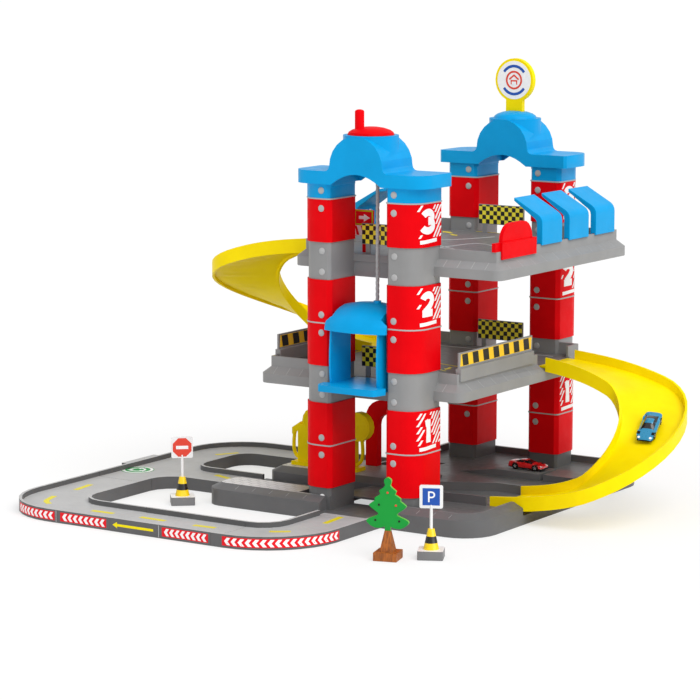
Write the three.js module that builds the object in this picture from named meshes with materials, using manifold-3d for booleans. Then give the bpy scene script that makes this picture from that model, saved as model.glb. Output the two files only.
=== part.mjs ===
// A toy parking garage with a crank lift: three floors on four stacked columns,
// two curved ramps, a base tray, a ring road, and loose signs and cars.
// Millimetres. +X runs along the front, +Y away from it, +Z up; z = 0 is the table.
import * as THREE from 'three';
import { mergeVertices } from 'three/addons/utils/BufferGeometryUtils.js';
import Module from 'manifold-3d';

const wasm = await Module();
wasm.setup();

// Levels
const roadTop = 12;
const groundFloor = 23;
const levelPitch = 188;
const secondFloor = groundFloor + levelPitch;
const thirdFloor = secondFloor + levelPitch;

// Fits
const fit = 0.3;
const runningGap = 0.4;
const overrun = 5;

// Columns of stacked blocks
const columnX = 76.5;
const columnY = 214.5;
const blockWidth = 52;
const blockDepth = 71;
const blockCorner = 28;
const blockEdge = 4;
const blockWall = 2.4;
const blockOverhang = 2;
const spigotWall = 2;
const spigotHeight = 6;
const collarHeight = 57;
const collarBelowFloor = 34;
const blockHeight = (levelPitch - collarHeight) / 2;
const blockCornerSteps = 4;
const pedestalTop = groundFloor - collarBelowFloor + collarHeight;

// Decks
const deckLongSide = 216;
const deckShortSide = 150;
const deckHalfDepth = 200;
const deckCorner = 14.5;
const deckCornerSteps = 3;
const deckSkirtDrop = 22.6;
const deckSkirtHeight = 15;
const shoulderInset = 13;
const shoulderRise = 10;
const parapetHeight = 16;
const parapetWall = 4;
const deckWall = 3.2;
const bayDepth = 17;
const bayWall = 3.5;
const bayLipHeight = 11;
const bayLipReach = 2.2;
const rampOpening = 98.6;
const landingDrop = 8.7;
const landingTrayWall = 3;

// Ramps
const rampStartGap = 0.9;
const rampEndX = 161.4;
const rampStartY = 102.7;
const rampEndY = -82.8;
const rampWidth = 97.8;
const rampOuterStraight = 314.9;
const rampOuterReach = 78.9;
const rampInnerStraight = 263.1;
const rampInnerReach = 35.7;
const rampWallAbove = 6.6;
const rampFloorBelow = 7.5;
const rampFloorThickness = 3;
const rampSkirtBelow = 15.6;
const rampWall = 3.6;
const rampTongue = 12.5;
const rampSwayShare = 0.72;
const rampSteps = 34;

// Arches over the two column pairs
const archSlabBottom = 510;
const archSlabTop = 530;
const archHeadTop = 584;
const archHeadRadius = 47;
const archFillet = 8;
const archSideOverhang = 15;
const archFrontOverhang = 7;
const archSlabCorner = 30;
const archUndersideRise = 17;
const archSteps = 12;
const archFilletSteps = 3;
const archWall = 4;
const turretRadius = 42;
const turretDepth = 36;
const turretSides = 28;

// Crank, spool and cord
const knobRadius = 35.5;
const knobRise = 12;
const pegRadius = 7.2;
const pegTop = 622;
const pegOffsetX = -14.2;
const pegOffsetY = -9.4;
const spoolRadius = 8.7;
const spoolFlange = 15;
const spoolFlangeThickness = 4;
const spoolBottom = 542;
const spoolFlangeBottom = 562;
const spoolShaft = 5;
const spoolWell = 17;
const roundSides = 16;
const cordRadius = 3;
const cordX = spoolRadius + cordRadius + fit;
const cordSides = 10;
const cordTop = 560;
const cordHole = 4.5;

// Round sign on the rear arch
const signDiscRadius = 35;
const signDiscThickness = 9;
const signDiscCentreZ = 645;
const signStemWidth = 30;
const signCapRise = 12;
const signCapRadius = 35;
const signSides = 28;
const signSlotDepth = 6;

// Lift cabin, standing at the second floor
const cabinHalfWidth = 43.5;
const cabinBackY = -188;
const cabinFrontY = -260;
const cabinWall = 3;
const cabinRoofHalfWidth = 54.5;
const cabinRoofSpread = 90;
const cabinRoofLength = 60;
const cabinRoofMiddleY = -212;
const cabinRoofRise = 41;
const cabinHeadroom = 80;
const cabinRoofBottom = secondFloor + cabinHeadroom;
const cabinRoofWall = 4;
const cabinFloorThickness = 4;
const cabinTrayDepth = 10;
const cabinLipFrontY = -286;
const cabinLipHalfWidth = 51;
const cabinLipCorner = 9;
const cabinLipFlare = 56;
const cabinLipFlareY = -260;
const cabinLipRoom = 2;
const cabinRibWidth = 8;
const cabinRibY = -218;
const cabinWallCurve = -3;
const cabinWallBackY = -208;
const cabinCurveSteps = 6;
const cabinShoulderGap = 2.4;
const cordBossRadius = 6;
const cordBossStand = 3;
const cordBossTop = cabinRoofBottom + cabinRoofRise + cordBossStand;
const roofAcross = 20;
const roofUp = 6;

// Base tray
const baseLeft = -150;
const baseRight = 220;
const baseHalfDepth = 268;
const baseCorner = 55;
const baseCornerSteps = 6;
const baseBackCorner = 30;
const baseWallTop = 26;
const rimTop = 34;
const rimChamferInset = 16;
const rimFlat = 5;
const baseShell = 3;
const restPad = 24;
const walkLeft = -275;
const walkBackY = -200;
const walkCorner = 30;
const walkBackLean = 2.4;
const islandLeft = -270;
const islandRight = -16;
const islandFrontY = -103;
const islandBackY = 20;
const islandCorner = 20;
const laneFloorEnd = -110;
const laneSlopeEnd = -70;
const backLaneFrontY = 36;
const backLaneBackY = 120;
const kerbWidth = 4;
const kerbTop = 37;
const kerbBend = 117;
const kerbFarX = 36;
const kerbFarY = -72;
const kerbNearX = 85;
const kerbNearY = -139;
const parkingStart = -24;
const parkingFlat = 50;
const parkingEnd = 130;
const parkingGap = 7;
const parkingSecondEnd = 192;
const parkingFrontY = 75;
const parkingBackY = 128;

// Ring road
const wingRight = 52;
const wingLeft = -515;
const wingFrontY = -505;
const wingBackY = 125;
const wingFrontCorner = 120;
const wingBackCorner = 100;
const wingCornerSteps = 8;
const islandCornerSteps = 4;
const wingKerb = 5;
const wingKerbTop = 20;
const wingShell = 3;
const lowerOpenLeft = -405;
const lowerOpenRight = -48;
const lowerOpenFrontY = -411;
const lowerOpenBackY = -195;
const lowerOpenCorner = 40;
const upperOpenLeft = -412;
const upperOpenFrontY = -103;
const upperOpenBackY = 31;
const upperOpenCorner = 30;
const wingSeamRight = -90;
const wingSeamLeft = -275;
const wingSeamBackY = -232;
const wingTab = 10;
const wingTabStartY = -264;
const wingTabEndY = -202;
const wingBulgeStartY = -155;
const wingBulgeEndY = -69;

// Fittings on the parapets
const clipLeg = 2.7;
const clipDrop = 12;
const panelThickness = 3;
const panelHeight = 24;
const panelAbove = 8;
const rightPanelStartY = -182;
const rightPanelEndY = 38;
const leftPanelStartY = -171;
const leftPanelEndY = 24;
const canopyDrop = 2;
const canopyWidth = 61.5;
const canopyPitch = 84.5;
const canopyFirstY = -57;
const canopyPost = 42;
const canopyReach = 40;
const canopyRise = 70;
const canopySkin = 5;
const canopyBend = 10;
const leftCanopyStartY = -56;
const boothStartY = -176;
const boothEndY = -74;
const boothBox = 25;
const boothPlateWidth = 90;
const boothPlateRise = 27;
const boothPlateThickness = 6;
const boothTab = 14;

// Checkered boards and the arrow sign
const boardWidth = 84;
const boardHeight = 32;
const boardThickness = 3;
const boardPost = 8;
const boardPostInset = 15;
const boardAbove = 14.5;
const boardY = 172;
const arrowX = -48;
const arrowY = -160;
const arrowWidth = 34;
const arrowPlateTop = 464;
const arrowPlateBottom = 424;
const arrowPost = 6;
const arrowThickness = 3;

// Filling station on the island
const pumpFirstX = -222;
const pumpSecondX = -140;
const pumpY = -60;
const pumpThickness = 14;
const pumpHeadRadius = 23.5;
const pumpHeadHeight = 72;
const pumpHeadOffset = 19;
const pumpNeck = 26;
const pumpNeckHeight = 66;
const pumpFootWidth = 44;
const pumpFootDepth = 26;
const pumpFootHeight = 6;
const hoseRadius = 3;
const hoseReach = 24;
const hoseLow = 11;
const hoseHigh = 48;
const gateX = -88;
const gateY = 2;
const gateWidth = 106;
const gateHeight = 108;
const gateLeg = 22;
const gateDepth = 14;
const gateCorner = 30;

// Loose signs and tree
const stopX = -304;
const stopY = -285;
const stopTurn = 40.4;
const parkX = 220;
const parkY = -395;
const parkTurn = 26.4;
const postFoot = 37;
const postFootHeight = 13;
const postConeBottom = 23;
const postConeTop = 9.5;
const postConeHeight = 42.6;
const postRadius = 2.2;
const plateSize = 33.5;
const plateThickness = 3;
const plateBottom = 72.4;
const treeX = 173;
const treeY = -436;
const treeTurn = 16.6;
const treeHeight = 119;
const treeWidth = 64;
const treeThickness = 5;
const treeFoot = 34.5;
const treeFootHeight = 12;
const treeTrunkBottom = 20;
const treeTrunkTop = 8;
const treeTrunkHeight = 42;
const treeCurveSteps = 2;

// Cars
const carLength = 62;
const carWidth = 28;
const carHeight = 17;
const carUnder = 2.5;
const wheelbase = 36;
const wheelRadius = 5.2;
const wheelWidth = 4.6;
const axleRadius = 1;
const axleBoreGap = 0.06;
const wheelClearance = 0.8;
const carWaist = 11;
const carNose = 7;
const carSill = 4;
const redCarX = 96;
const redCarY = 102;
const blueCarShare = 0.465;
const blueCarRide = 4.25;

const plastic = { roughness: 0.45, metalness: 0 };
const red = { color: 0xd8101b, ...plastic };
const darkGray = { color: 0x4b4b4d, ...plastic };
const gray = { color: 0x8f8f90, ...plastic };
const paleGray = { color: 0xb4b4b6, ...plastic };
const blue = { color: 0x00a0e6, ...plastic };
const yellow = { color: 0xffdd00, ...plastic };
const black = { color: 0x151515, ...plastic };
const green = { color: 0x0f9a3c, ...plastic };
const white = { color: 0xf2f2f2, ...plastic };
const carBlue = { color: 0x16a3c0, ...plastic };

const garage = new THREE.Group();

// Closed outlines as lists of points

// Corners are [x, y, radius, steps]; a radius turns the corner into an arc of that many sides.
function rounded(corners) {
  return corners.flatMap(([x, y, radius = 0, steps = 1], i) => {
    const here = new THREE.Vector2(x, y);
    if (radius <= 0) {
      return [here];
    }
    const before = corners.at(i - 1);
    const after = corners[(i + 1) % corners.length];
    const back = new THREE.Vector2(before[0] - x, before[1] - y).normalize();
    const ahead = new THREE.Vector2(after[0] - x, after[1] - y).normalize();
    const half = Math.acos(back.dot(ahead)) / 2;
    const bisector = back.clone().add(ahead).normalize();
    const centre = here.clone().addScaledVector(bisector, radius / Math.sin(half));
    const start = here.clone().addScaledVector(back, radius / Math.tan(half));
    const sweep = Math.sign(ahead.cross(back)) * (Math.PI - 2 * half);
    return Array.from({ length: steps + 1 }, (_, s) => {
      return start.clone().rotateAround(centre, (sweep * s) / steps);
    });
  });
}

function rectangle(x0, x1, y0, y1, radius = 0, steps = 1) {
  const corners = [[x0, y0], [x1, y0], [x1, y1], [x0, y1]];
  return rounded(corners.map(([x, y]) => [x, y, radius, steps]));
}

function circle(x, y, radius, sides) {
  return Array.from({ length: sides }, (_, i) => {
    const angle = (2 * Math.PI * i) / sides;
    return new THREE.Vector2(x + radius * Math.cos(angle), y + radius * Math.sin(angle));
  });
}

// Solids from outlines

function extruded(points, depth, bevel = {}) {
  return new THREE.ExtrudeGeometry(new THREE.Shape(points), { depth, bevelEnabled: false, ...bevel });
}

function solid(geometry) {
  const bare = geometry.clone();
  bare.deleteAttribute('normal');
  bare.deleteAttribute('uv');
  const welded = mergeVertices(bare);
  const vertProperties = new Float32Array(welded.attributes.position.array);
  const triVerts = new Uint32Array(welded.index.array);
  return new wasm.Manifold(new wasm.Mesh({ numProp: 3, vertProperties, triVerts }));
}

function surface(body) {
  const mesh = body.getMesh();
  const geometry = new THREE.BufferGeometry();
  geometry.setAttribute('position', new THREE.BufferAttribute(mesh.vertProperties, 3));
  geometry.setIndex(new THREE.BufferAttribute(mesh.triVerts, 1));
  return geometry;
}

// An outline in X and Y, from one height to another.
function slab(points, bottom, top) {
  return solid(extruded(points, top - bottom).translate(0, 0, bottom));
}

// An outline in X and Z, from one depth to another.
function standing(points, front, back) {
  const turn = new THREE.Matrix4().makeBasis(
    new THREE.Vector3(1, 0, 0),
    new THREE.Vector3(0, 0, 1),
    new THREE.Vector3(0, -1, 0),
  );
  return solid(extruded(points, back - front).applyMatrix4(turn).translate(0, back, 0));
}

// An outline in Y and Z, from one side to another.
function sideways(points, left, right) {
  const turn = new THREE.Matrix4().makeBasis(
    new THREE.Vector3(0, 1, 0),
    new THREE.Vector3(0, 0, 1),
    new THREE.Vector3(1, 0, 0),
  );
  return solid(extruded(points, right - left).applyMatrix4(turn).translate(left, 0, 0));
}

function block(x0, x1, y0, y1, z0, z1) {
  return slab(rectangle(x0, x1, y0, y1), z0, z1);
}

// A slab whose top edge slopes out by size over a height of rise.
function shouldered(points, bottom, top, size, rise) {
  const bevel = { bevelEnabled: true, bevelThickness: rise, bevelSize: size, bevelSegments: 1 };
  const height = top - rise - bottom + overrun;
  const whole = solid(extruded(points, height, bevel).translate(0, 0, bottom - overrun));
  const reach = size + overrun;
  const box = new THREE.Box2().setFromPoints(points);
  const keep = rectangle(box.min.x - reach, box.max.x + reach, box.min.y - reach, box.max.y + reach);
  return whole.intersect(slab(keep, bottom, top + overrun));
}

function add(name, body, material) {
  const geometry = body.isBufferGeometry ? body : surface(body);
  const mesh = new THREE.Mesh(geometry, new THREE.MeshStandardMaterial(material));
  mesh.name = name;
  garage.add(mesh);
  return mesh;
}

// The half turn about Z that one deck and one ramp are given.
function halfTurn(body) {
  return solid(surface(body).scale(-1, -1, 1));
}

// Columns

// The column outline, drawn in by inset; its corner away from the middle of the garage is large.
function columnOutline(sideX, sideY, inset) {
  const halfWidth = blockWidth / 2 - inset;
  const halfDepth = blockDepth / 2 - inset;
  const corners = [[-1, -1], [1, -1], [1, 1], [-1, 1]];
  return rounded(corners.map(([alongX, alongY]) => {
    const outer = alongX === sideX && alongY === sideY;
    const radius = (outer ? blockCorner : blockEdge) - inset;
    const x = sideX * columnX + alongX * halfWidth;
    const y = sideY * columnY + alongY * halfDepth;
    return [x, y, radius, outer ? blockCornerSteps : 1];
  }));
}

const columnSides = [[-1, -1], [1, -1], [-1, 1], [1, 1]];
const spigotInset = blockWall + fit;
const boreInset = spigotInset + spigotWall;

function spigot([sideX, sideY], bottom) {
  return slab(columnOutline(sideX, sideY, spigotInset), bottom, bottom + spigotHeight);
}

function spigotRecess([sideX, sideY], bottom) {
  return slab(columnOutline(sideX, sideY, blockWall), bottom, bottom + spigotHeight + fit);
}

function columnBore([sideX, sideY], bottom, top) {
  return slab(columnOutline(sideX, sideY, boreInset), bottom, top);
}

function columnBlock(sides, bottom, withSpigot) {
  const top = bottom + blockHeight;
  const outline = columnOutline(sides[0], sides[1], -blockOverhang);
  let body = slab(outline, bottom, top);
  if (withSpigot) {
    body = body.add(spigot(sides, top));
  }
  body = body.subtract(spigotRecess(sides, bottom));
  return body.subtract(columnBore(sides, bottom - overrun, top + spigotHeight + overrun));
}

function columnBottoms() {
  const upperStart = pedestalTop + levelPitch;
  const topStart = upperStart + levelPitch;
  return [pedestalTop, pedestalTop + blockHeight, upperStart, upperStart + blockHeight, topStart];
}

function addColumns() {
  const names = ['front_left', 'front_right', 'back_left', 'back_right'];
  columnSides.forEach((sides, i) => {
    columnBottoms().forEach((bottom, n) => {
      add(`column_block_${names[i]}_${n + 1}`, columnBlock(sides, bottom, true), red);
    });
  });
}

// Decks

function deckOutline(inset) {
  const radius = Math.max(deckCorner - inset, 0);
  const right = deckLongSide - inset;
  const depth = deckHalfDepth - inset;
  return rectangle(inset - deckShortSide, right, -depth, depth, radius, deckCornerSteps);
}

function deckShell(floor) {
  const bottom = floor - deckSkirtDrop;
  const skirtTop = bottom + deckSkirtHeight;
  const shoulderTop = skirtTop + shoulderRise;
  const parapetTop = shoulderTop + parapetHeight;
  const faceOutline = deckOutline(shoulderInset);
  const stepTop = skirtTop - deckWall;
  return shouldered(faceOutline, bottom, shoulderTop, shoulderInset, shoulderRise)
    .add(slab(faceOutline, bottom, parapetTop))
    .subtract(slab(deckOutline(shoulderInset + parapetWall), floor, parapetTop + overrun))
    .subtract(slab(deckOutline(deckWall), bottom - overrun, stepTop))
    .subtract(slab(deckOutline(shoulderInset + deckWall), stepTop - overrun, floor - deckWall));
}

// The bay cut between two columns, with its end wall and the lip along its top.
function bayCut(side, floor) {
  const halfBay = columnX - blockWidth / 2;
  const near = deckHalfDepth - bayDepth;
  const ys = [side * near, side * (deckHalfDepth + overrun)].sort((a, b) => a - b);
  return block(-halfBay, halfBay, ys[0], ys[1], floor - levelPitch / 2, floor + levelPitch / 2);
}

function bayEnd(side, floor) {
  const halfBay = columnX - blockWidth / 2;
  const face = deckHalfDepth - bayDepth;
  const bottom = floor - collarBelowFloor;
  const profile = [
    [face - bayWall, bottom],
    [face, bottom],
    [face, floor - bayLipHeight],
    [face + bayLipReach, floor - bayLipHeight],
    [face, floor],
    [face - bayWall, floor],
  ].map(([y, z]) => new THREE.Vector2(side * y, z));
  const ordered = side > 0 ? profile : profile.reverse();
  const end = halfBay + blockEdge / 2;
  return sideways(ordered, -end, end);
}

function collars(floor) {
  const bottom = floor - collarBelowFloor;
  const top = bottom + collarHeight;
  return columnSides.map((sides) => {
    return slab(columnOutline(sides[0], sides[1], 0), bottom, top).add(spigot(sides, top));
  });
}

function collarCuts(floor) {
  const bottom = floor - collarBelowFloor;
  const top = bottom + collarHeight + spigotHeight + overrun;
  return columnSides.map((sides) => {
    return spigotRecess(sides, bottom).add(columnBore(sides, bottom - overrun, top));
  });
}

// The gap in the parapet of the short side where a ramp starts, with a seat for its tongue.
function rampStartCut(floor) {
  const middle = -rampStartY;
  const half = rampOpening / 2;
  const outside = -deckShortSide - overrun;
  const inside = -deckShortSide + shoulderInset + parapetWall + overrun;
  const seatEnd = -deckShortSide + rampTongue + fit;
  const seat = floor - rampFloorThickness - fit;
  const above = floor + levelPitch / 2;
  return block(outside, inside, middle - half, middle + half, floor, above)
    .add(block(outside, seatEnd, middle - half, middle + half, seat, above));
}

// The pocket in the long side where the ramp from above comes to rest.
function landingRange() {
  const half = rampOpening / 2;
  return [rampEndY - half, rampEndY + half];
}

function landingTray(floor) {
  const [y0, y1] = landingRange();
  const wall = landingTrayWall;
  const bottom = floor - landingDrop - wall;
  const inner = rampEndX - fit - wall;
  return block(inner, deckLongSide - deckWall, y0 - wall, y1 + wall, bottom, floor - deckWall);
}

function landingCut(floor) {
  const [y0, y1] = landingRange();
  const outside = deckLongSide + overrun;
  const above = floor + levelPitch / 2;
  return block(rampEndX - fit, outside, y0, y1, floor - landingDrop, above);
}

function deck(floor, withLanding) {
  let body = deckShell(floor);
  body = body.subtract(bayCut(1, floor)).subtract(bayCut(-1, floor));
  body = body.add(bayEnd(1, floor)).add(bayEnd(-1, floor));
  if (withLanding) {
    body = body.add(landingTray(floor)).subtract(landingCut(floor));
  }
  body = body.subtract(rampStartCut(floor));
  collars(floor).forEach((collar) => {
    body = body.add(collar);
  });
  collarCuts(floor).forEach((cut) => {
    body = body.subtract(cut);
  });
  return body;
}

function addDecks() {
  add('deck_level_2', halfTurn(deck(secondFloor, true)), gray);
  add('deck_level_3', deck(thirdFloor, false), gray);
}

// Ramps

const rampTop = secondFloor + rampFloorBelow;
const rampDrop = levelPitch;
const rampStartX = deckShortSide + rampStartGap;
const rampMiddleY = (rampStartY + rampEndY) / 2;
const rampTurn = (rampStartY - rampEndY) / 2;

// A point of the ramp's plan: side is 1 on the outer edge, -1 on the inner one, 0 between them.
function rampPlan(share, side) {
  const straight = (rampOuterStraight + rampInnerStraight) / 2;
  const reach = (rampOuterReach + rampInnerReach) / 2;
  const bend = Math.PI * Math.sqrt((reach * reach + rampTurn * rampTurn) / 2);
  const lengths = [straight - rampStartX, bend, straight - rampEndX];
  const along = share * (lengths[0] + lengths[1] + lengths[2]);
  const edgeStraight = straight + (side * (rampOuterStraight - rampInnerStraight)) / 2;
  const edgeReach = reach + (side * (rampOuterReach - rampInnerReach)) / 2;
  const edgeTurn = rampTurn + (side * rampWidth) / 2;
  if (along < lengths[0]) {
    const x = THREE.MathUtils.lerp(rampStartX, edgeStraight, along / lengths[0]);
    return new THREE.Vector2(x, rampMiddleY + edgeTurn);
  }
  if (along > lengths[0] + lengths[1]) {
    const rest = (along - lengths[0] - lengths[1]) / lengths[2];
    return new THREE.Vector2(THREE.MathUtils.lerp(edgeStraight, rampEndX, rest), rampMiddleY - edgeTurn);
  }
  const angle = (Math.PI * (along - lengths[0])) / lengths[1];
  const x = edgeStraight + edgeReach * Math.sin(angle);
  return new THREE.Vector2(x, rampMiddleY + edgeTurn * Math.cos(angle));
}

// The ramp falls slowly at both ends and faster between them.
function rampHeight(share) {
  const sway = (rampSwayShare * Math.sin(2 * Math.PI * share)) / (2 * Math.PI);
  return rampTop - rampDrop * (share - sway);
}

// The middle line of the ramp; its frames stay upright and reach from edge to edge.
class RampPath extends THREE.Curve {
  getPoint(share) {
    const outer = rampPlan(share, 1);
    const inner = rampPlan(share, -1);
    const middle = outer.add(inner).multiplyScalar(1 / 2);
    return new THREE.Vector3(middle.x, middle.y, rampHeight(share));
  }

  getPointAt(share) {
    return this.getPoint(share);
  }

  across(share) {
    const line = rampPlan(share, 1).sub(rampPlan(share, -1)).multiplyScalar(1 / rampWidth);
    return new THREE.Vector3(line.x, line.y, 0);
  }

  computeFrenetFrames(steps) {
    const shares = Array.from({ length: steps + 1 }, (_, i) => i / steps);
    return {
      tangents: shares.map((share) => this.getTangent(share)),
      normals: shares.map((share) => this.across(share)),
      binormals: shares.map(() => new THREE.Vector3(0, 0, 1)),
    };
  }
}

function rampSection() {
  const half = rampWidth / 2;
  const inside = half - rampWall;
  const floorTop = -rampFloorBelow;
  const floorBottom = floorTop - rampFloorThickness;
  return [
    [-half, -rampSkirtBelow],
    [-inside, -rampSkirtBelow],
    [-inside, floorBottom],
    [inside, floorBottom],
    [inside, -rampSkirtBelow],
    [half, -rampSkirtBelow],
    [half, rampWallAbove],
    [inside, rampWallAbove],
    [inside, floorTop],
    [-inside, floorTop],
    [-inside, rampWallAbove],
    [-half, rampWallAbove],
  ].map(([x, y]) => new THREE.Vector2(x, y));
}

function ramp() {
  const shape = new THREE.Shape(rampSection());
  const way = { steps: rampSteps, extrudePath: new RampPath(), bevelEnabled: false };
  const trough = solid(new THREE.ExtrudeGeometry(shape, way));
  const half = rampWidth / 2 - rampWall;
  const seatBottom = secondFloor - rampFloorThickness;
  const tongueStart = deckShortSide - rampTongue;
  const lip = rampStartX + rampWall;
  const ys = [rampStartY - half, rampStartY + half];
  return trough.add(block(tongueStart, lip, ys[0], ys[1], seatBottom, secondFloor));
}

function addRamps() {
  add('ramp_right', ramp(), yellow);
  const upper = surface(ramp()).translate(0, 0, levelPitch).scale(-1, -1, 1);
  add('ramp_left', solid(upper), yellow);
}

// Arches

// The arch seen from the front: slab ends, fillets and the round head.
function archOutline() {
  const halfSlab = columnX + blockWidth / 2 + archSideOverhang;
  const centreZ = archHeadTop - archHeadRadius;
  const foot = archHeadRadius + archFillet;
  const rightFillet = Array.from({ length: archFilletSteps + 1 }, (_, i) => {
    const angle = (Math.PI * (3 - i / archFilletSteps)) / 2;
    const x = foot + archFillet * Math.cos(angle);
    return new THREE.Vector2(x, archSlabTop + archFillet + archFillet * Math.sin(angle));
  });
  const head = Array.from({ length: archSteps + 1 }, (_, i) => {
    const angle = (Math.PI * i) / archSteps;
    const x = archHeadRadius * Math.cos(angle);
    return new THREE.Vector2(x, centreZ + archHeadRadius * Math.sin(angle));
  });
  const leftFillet = rightFillet.map((p) => new THREE.Vector2(-p.x, p.y)).reverse();
  const low = archSlabBottom - overrun;
  return [
    new THREE.Vector2(-halfSlab, low),
    new THREE.Vector2(halfSlab, low),
    new THREE.Vector2(halfSlab, archSlabTop),
    ...rightFillet,
    ...head,
    ...leftFillet,
    new THREE.Vector2(-halfSlab, archSlabTop),
  ];
}

// The opening under the arch between the two columns.
function archUnderside() {
  const half = columnX - blockWidth / 2;
  const crown = archSlabBottom + archUndersideRise;
  const low = archSlabBottom - overrun;
  const curve = Array.from({ length: archSteps + 1 }, (_, i) => {
    const along = 1 - (2 * i) / archSteps;
    const z = low + (crown - low) * (1 - along * along);
    return new THREE.Vector2(half * along, z);
  });
  const drop = archSlabBottom - levelPitch;
  return [new THREE.Vector2(-half, drop), new THREE.Vector2(half, drop), ...curve];
}

function archPlan(sideY) {
  const halfX = columnX + blockWidth / 2 + archSideOverhang;
  const outer = columnY + blockDepth / 2 + archFrontOverhang;
  const inner = columnY - blockDepth / 2 - archFrontOverhang;
  const steps = blockCornerSteps;
  const corners = [
    [-halfX, inner, blockEdge, 1],
    [-halfX, outer, archSlabCorner, steps],
    [halfX, outer, archSlabCorner, steps],
    [halfX, inner, blockEdge, 1],
  ].map(([x, y, radius, count]) => [x, sideY * y, radius, count]);
  return rounded(sideY > 0 ? corners.reverse() : corners);
}

const topBlockEnd = columnBottoms().at(-1) + blockHeight;

function archBody(sideY) {
  const front = sideY * columnY - blockDepth / 2 - archFrontOverhang;
  const back = sideY * columnY + blockDepth / 2 + archFrontOverhang;
  const plan = archPlan(sideY);
  const round = circle(0, sideY * columnY, turretRadius, turretSides);
  const turret = slab(round, archHeadTop - turretDepth, archHeadTop);
  let body = standing(archOutline(), front, back)
    .intersect(slab(plan, archSlabBottom, archHeadTop + overrun))
    .add(turret);
  columnSides.filter((sides) => sides[1] === sideY).forEach((sides) => {
    const socket = slab(columnOutline(sides[0], sides[1], -blockOverhang), topBlockEnd, archSlabBottom);
    body = body.add(socket).subtract(spigotRecess(sides, topBlockEnd));
    body = body.subtract(columnBore(sides, topBlockEnd - overrun, archSlabTop - archWall));
  });
  return body
    .subtract(standing(archUnderside(), front - overrun, back + overrun))
    .subtract(standing(archHollow(), front + archWall, back - archWall));
}

// The hollow of the head, open below between the columns.
function archHollow() {
  const half = columnX - blockWidth / 2 - archWall;
  const radius = archHeadRadius - archWall;
  const low = archSlabBottom - overrun;
  const step = archSlabTop - archWall;
  const centreZ = archHeadTop - archHeadRadius;
  const head = Array.from({ length: archSteps + 1 }, (_, i) => {
    const angle = (Math.PI * i) / archSteps;
    return new THREE.Vector2(radius * Math.cos(angle), centreZ + radius * Math.sin(angle));
  });
  const right = [[half, low], [half, step], [radius, step]];
  const left = right.map(([x, z]) => [-x, z]).reverse();
  const points = (list) => list.map(([x, z]) => new THREE.Vector2(x, z));
  return [...points(right), ...head, ...points(left)];
}

function dome(x, y, bottom, radius, rise, sides) {
  const steps = 5;
  const points = Array.from({ length: steps + 1 }, (_, i) => {
    const angle = (Math.PI * i) / (2 * steps);
    return new THREE.Vector2(i === steps ? 0 : radius * Math.cos(angle), rise * Math.sin(angle));
  });
  const profile = [new THREE.Vector2(0, 0), ...points];
  const geometry = new THREE.LatheGeometry(profile, sides);
  const up = new THREE.Matrix4().makeBasis(
    new THREE.Vector3(1, 0, 0),
    new THREE.Vector3(0, 0, 1),
    new THREE.Vector3(0, -1, 0),
  );
  return solid(geometry.applyMatrix4(up).translate(x, y, bottom));
}

function frontArch() {
  const well = slab(circle(0, -columnY, spoolWell, roundSides), spoolBottom - fit, archHeadTop + overrun);
  const hole = slab(circle(cordX, -columnY, cordHole, roundSides / 2), archSlabBottom, spoolBottom);
  const cup = circle(0, -columnY, spoolWell + archWall, roundSides);
  return archBody(-1)
    .add(slab(cup, spoolBottom - fit - archWall, archHeadTop))
    .subtract(well)
    .subtract(hole);
}

function signSlot(grow) {
  const halfWidth = signStemWidth / 2 + grow;
  const halfDepth = signDiscThickness / 2 + grow;
  const bottom = archHeadTop + signCapRise - signSlotDepth - grow;
  return block(-halfWidth, halfWidth, columnY - halfDepth, columnY + halfDepth, bottom, signDiscCentreZ);
}

function rearArch() {
  const cap = dome(0, columnY, archHeadTop, signCapRadius, signCapRise, turretSides);
  return archBody(1).add(cap).subtract(signSlot(fit));
}

function discSign() {
  const disc = circle(0, signDiscCentreZ, signDiscRadius, signSides);
  const half = signDiscThickness / 2;
  return standing(disc, columnY - half, columnY + half).add(signSlot(0));
}

function addArches() {
  add('arch_front', frontArch(), blue);
  add('arch_back', rearArch(), blue);
  add('round_sign', discSign(), yellow);
}

// Crank, spool, cord and cabin

function crank() {
  const bottom = archHeadTop + fit;
  const x = pegOffsetX;
  const y = pegOffsetY - columnY;
  const peg = slab(circle(x, y, pegRadius, roundSides), bottom + pegRadius / 2, pegTop - pegRadius / 2);
  const cap = dome(x, y, pegTop - pegRadius / 2, pegRadius, pegRadius / 2, roundSides);
  return dome(0, -columnY, bottom, knobRadius, knobRise, turretSides).add(peg).add(cap);
}

function spool() {
  const drumTop = spoolFlangeBottom + spoolFlangeThickness;
  const drum = slab(circle(0, -columnY, spoolRadius, roundSides), spoolBottom, spoolFlangeBottom);
  const flange = slab(circle(0, -columnY, spoolFlange, roundSides), spoolFlangeBottom, drumTop);
  const shaft = slab(circle(0, -columnY, spoolShaft, roundSides), drumTop, archHeadTop + fit);
  return drum.add(flange).add(shaft);
}

function cord() {
  const bottom = cordBossTop + fit;
  return slab(circle(cordX, -columnY, cordRadius, cordSides), bottom, cordTop);
}

function ellipsoidHood(shrink) {
  const geometry = new THREE.SphereGeometry(1, roofAcross, roofUp * 2);
  const x = cabinRoofSpread - shrink;
  const y = cabinRoofLength - shrink;
  const z = cabinRoofRise - shrink;
  geometry.rotateX(Math.PI / 2).scale(x, y, z);
  return solid(geometry.translate(0, cabinRoofMiddleY, cabinRoofBottom));
}

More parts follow.
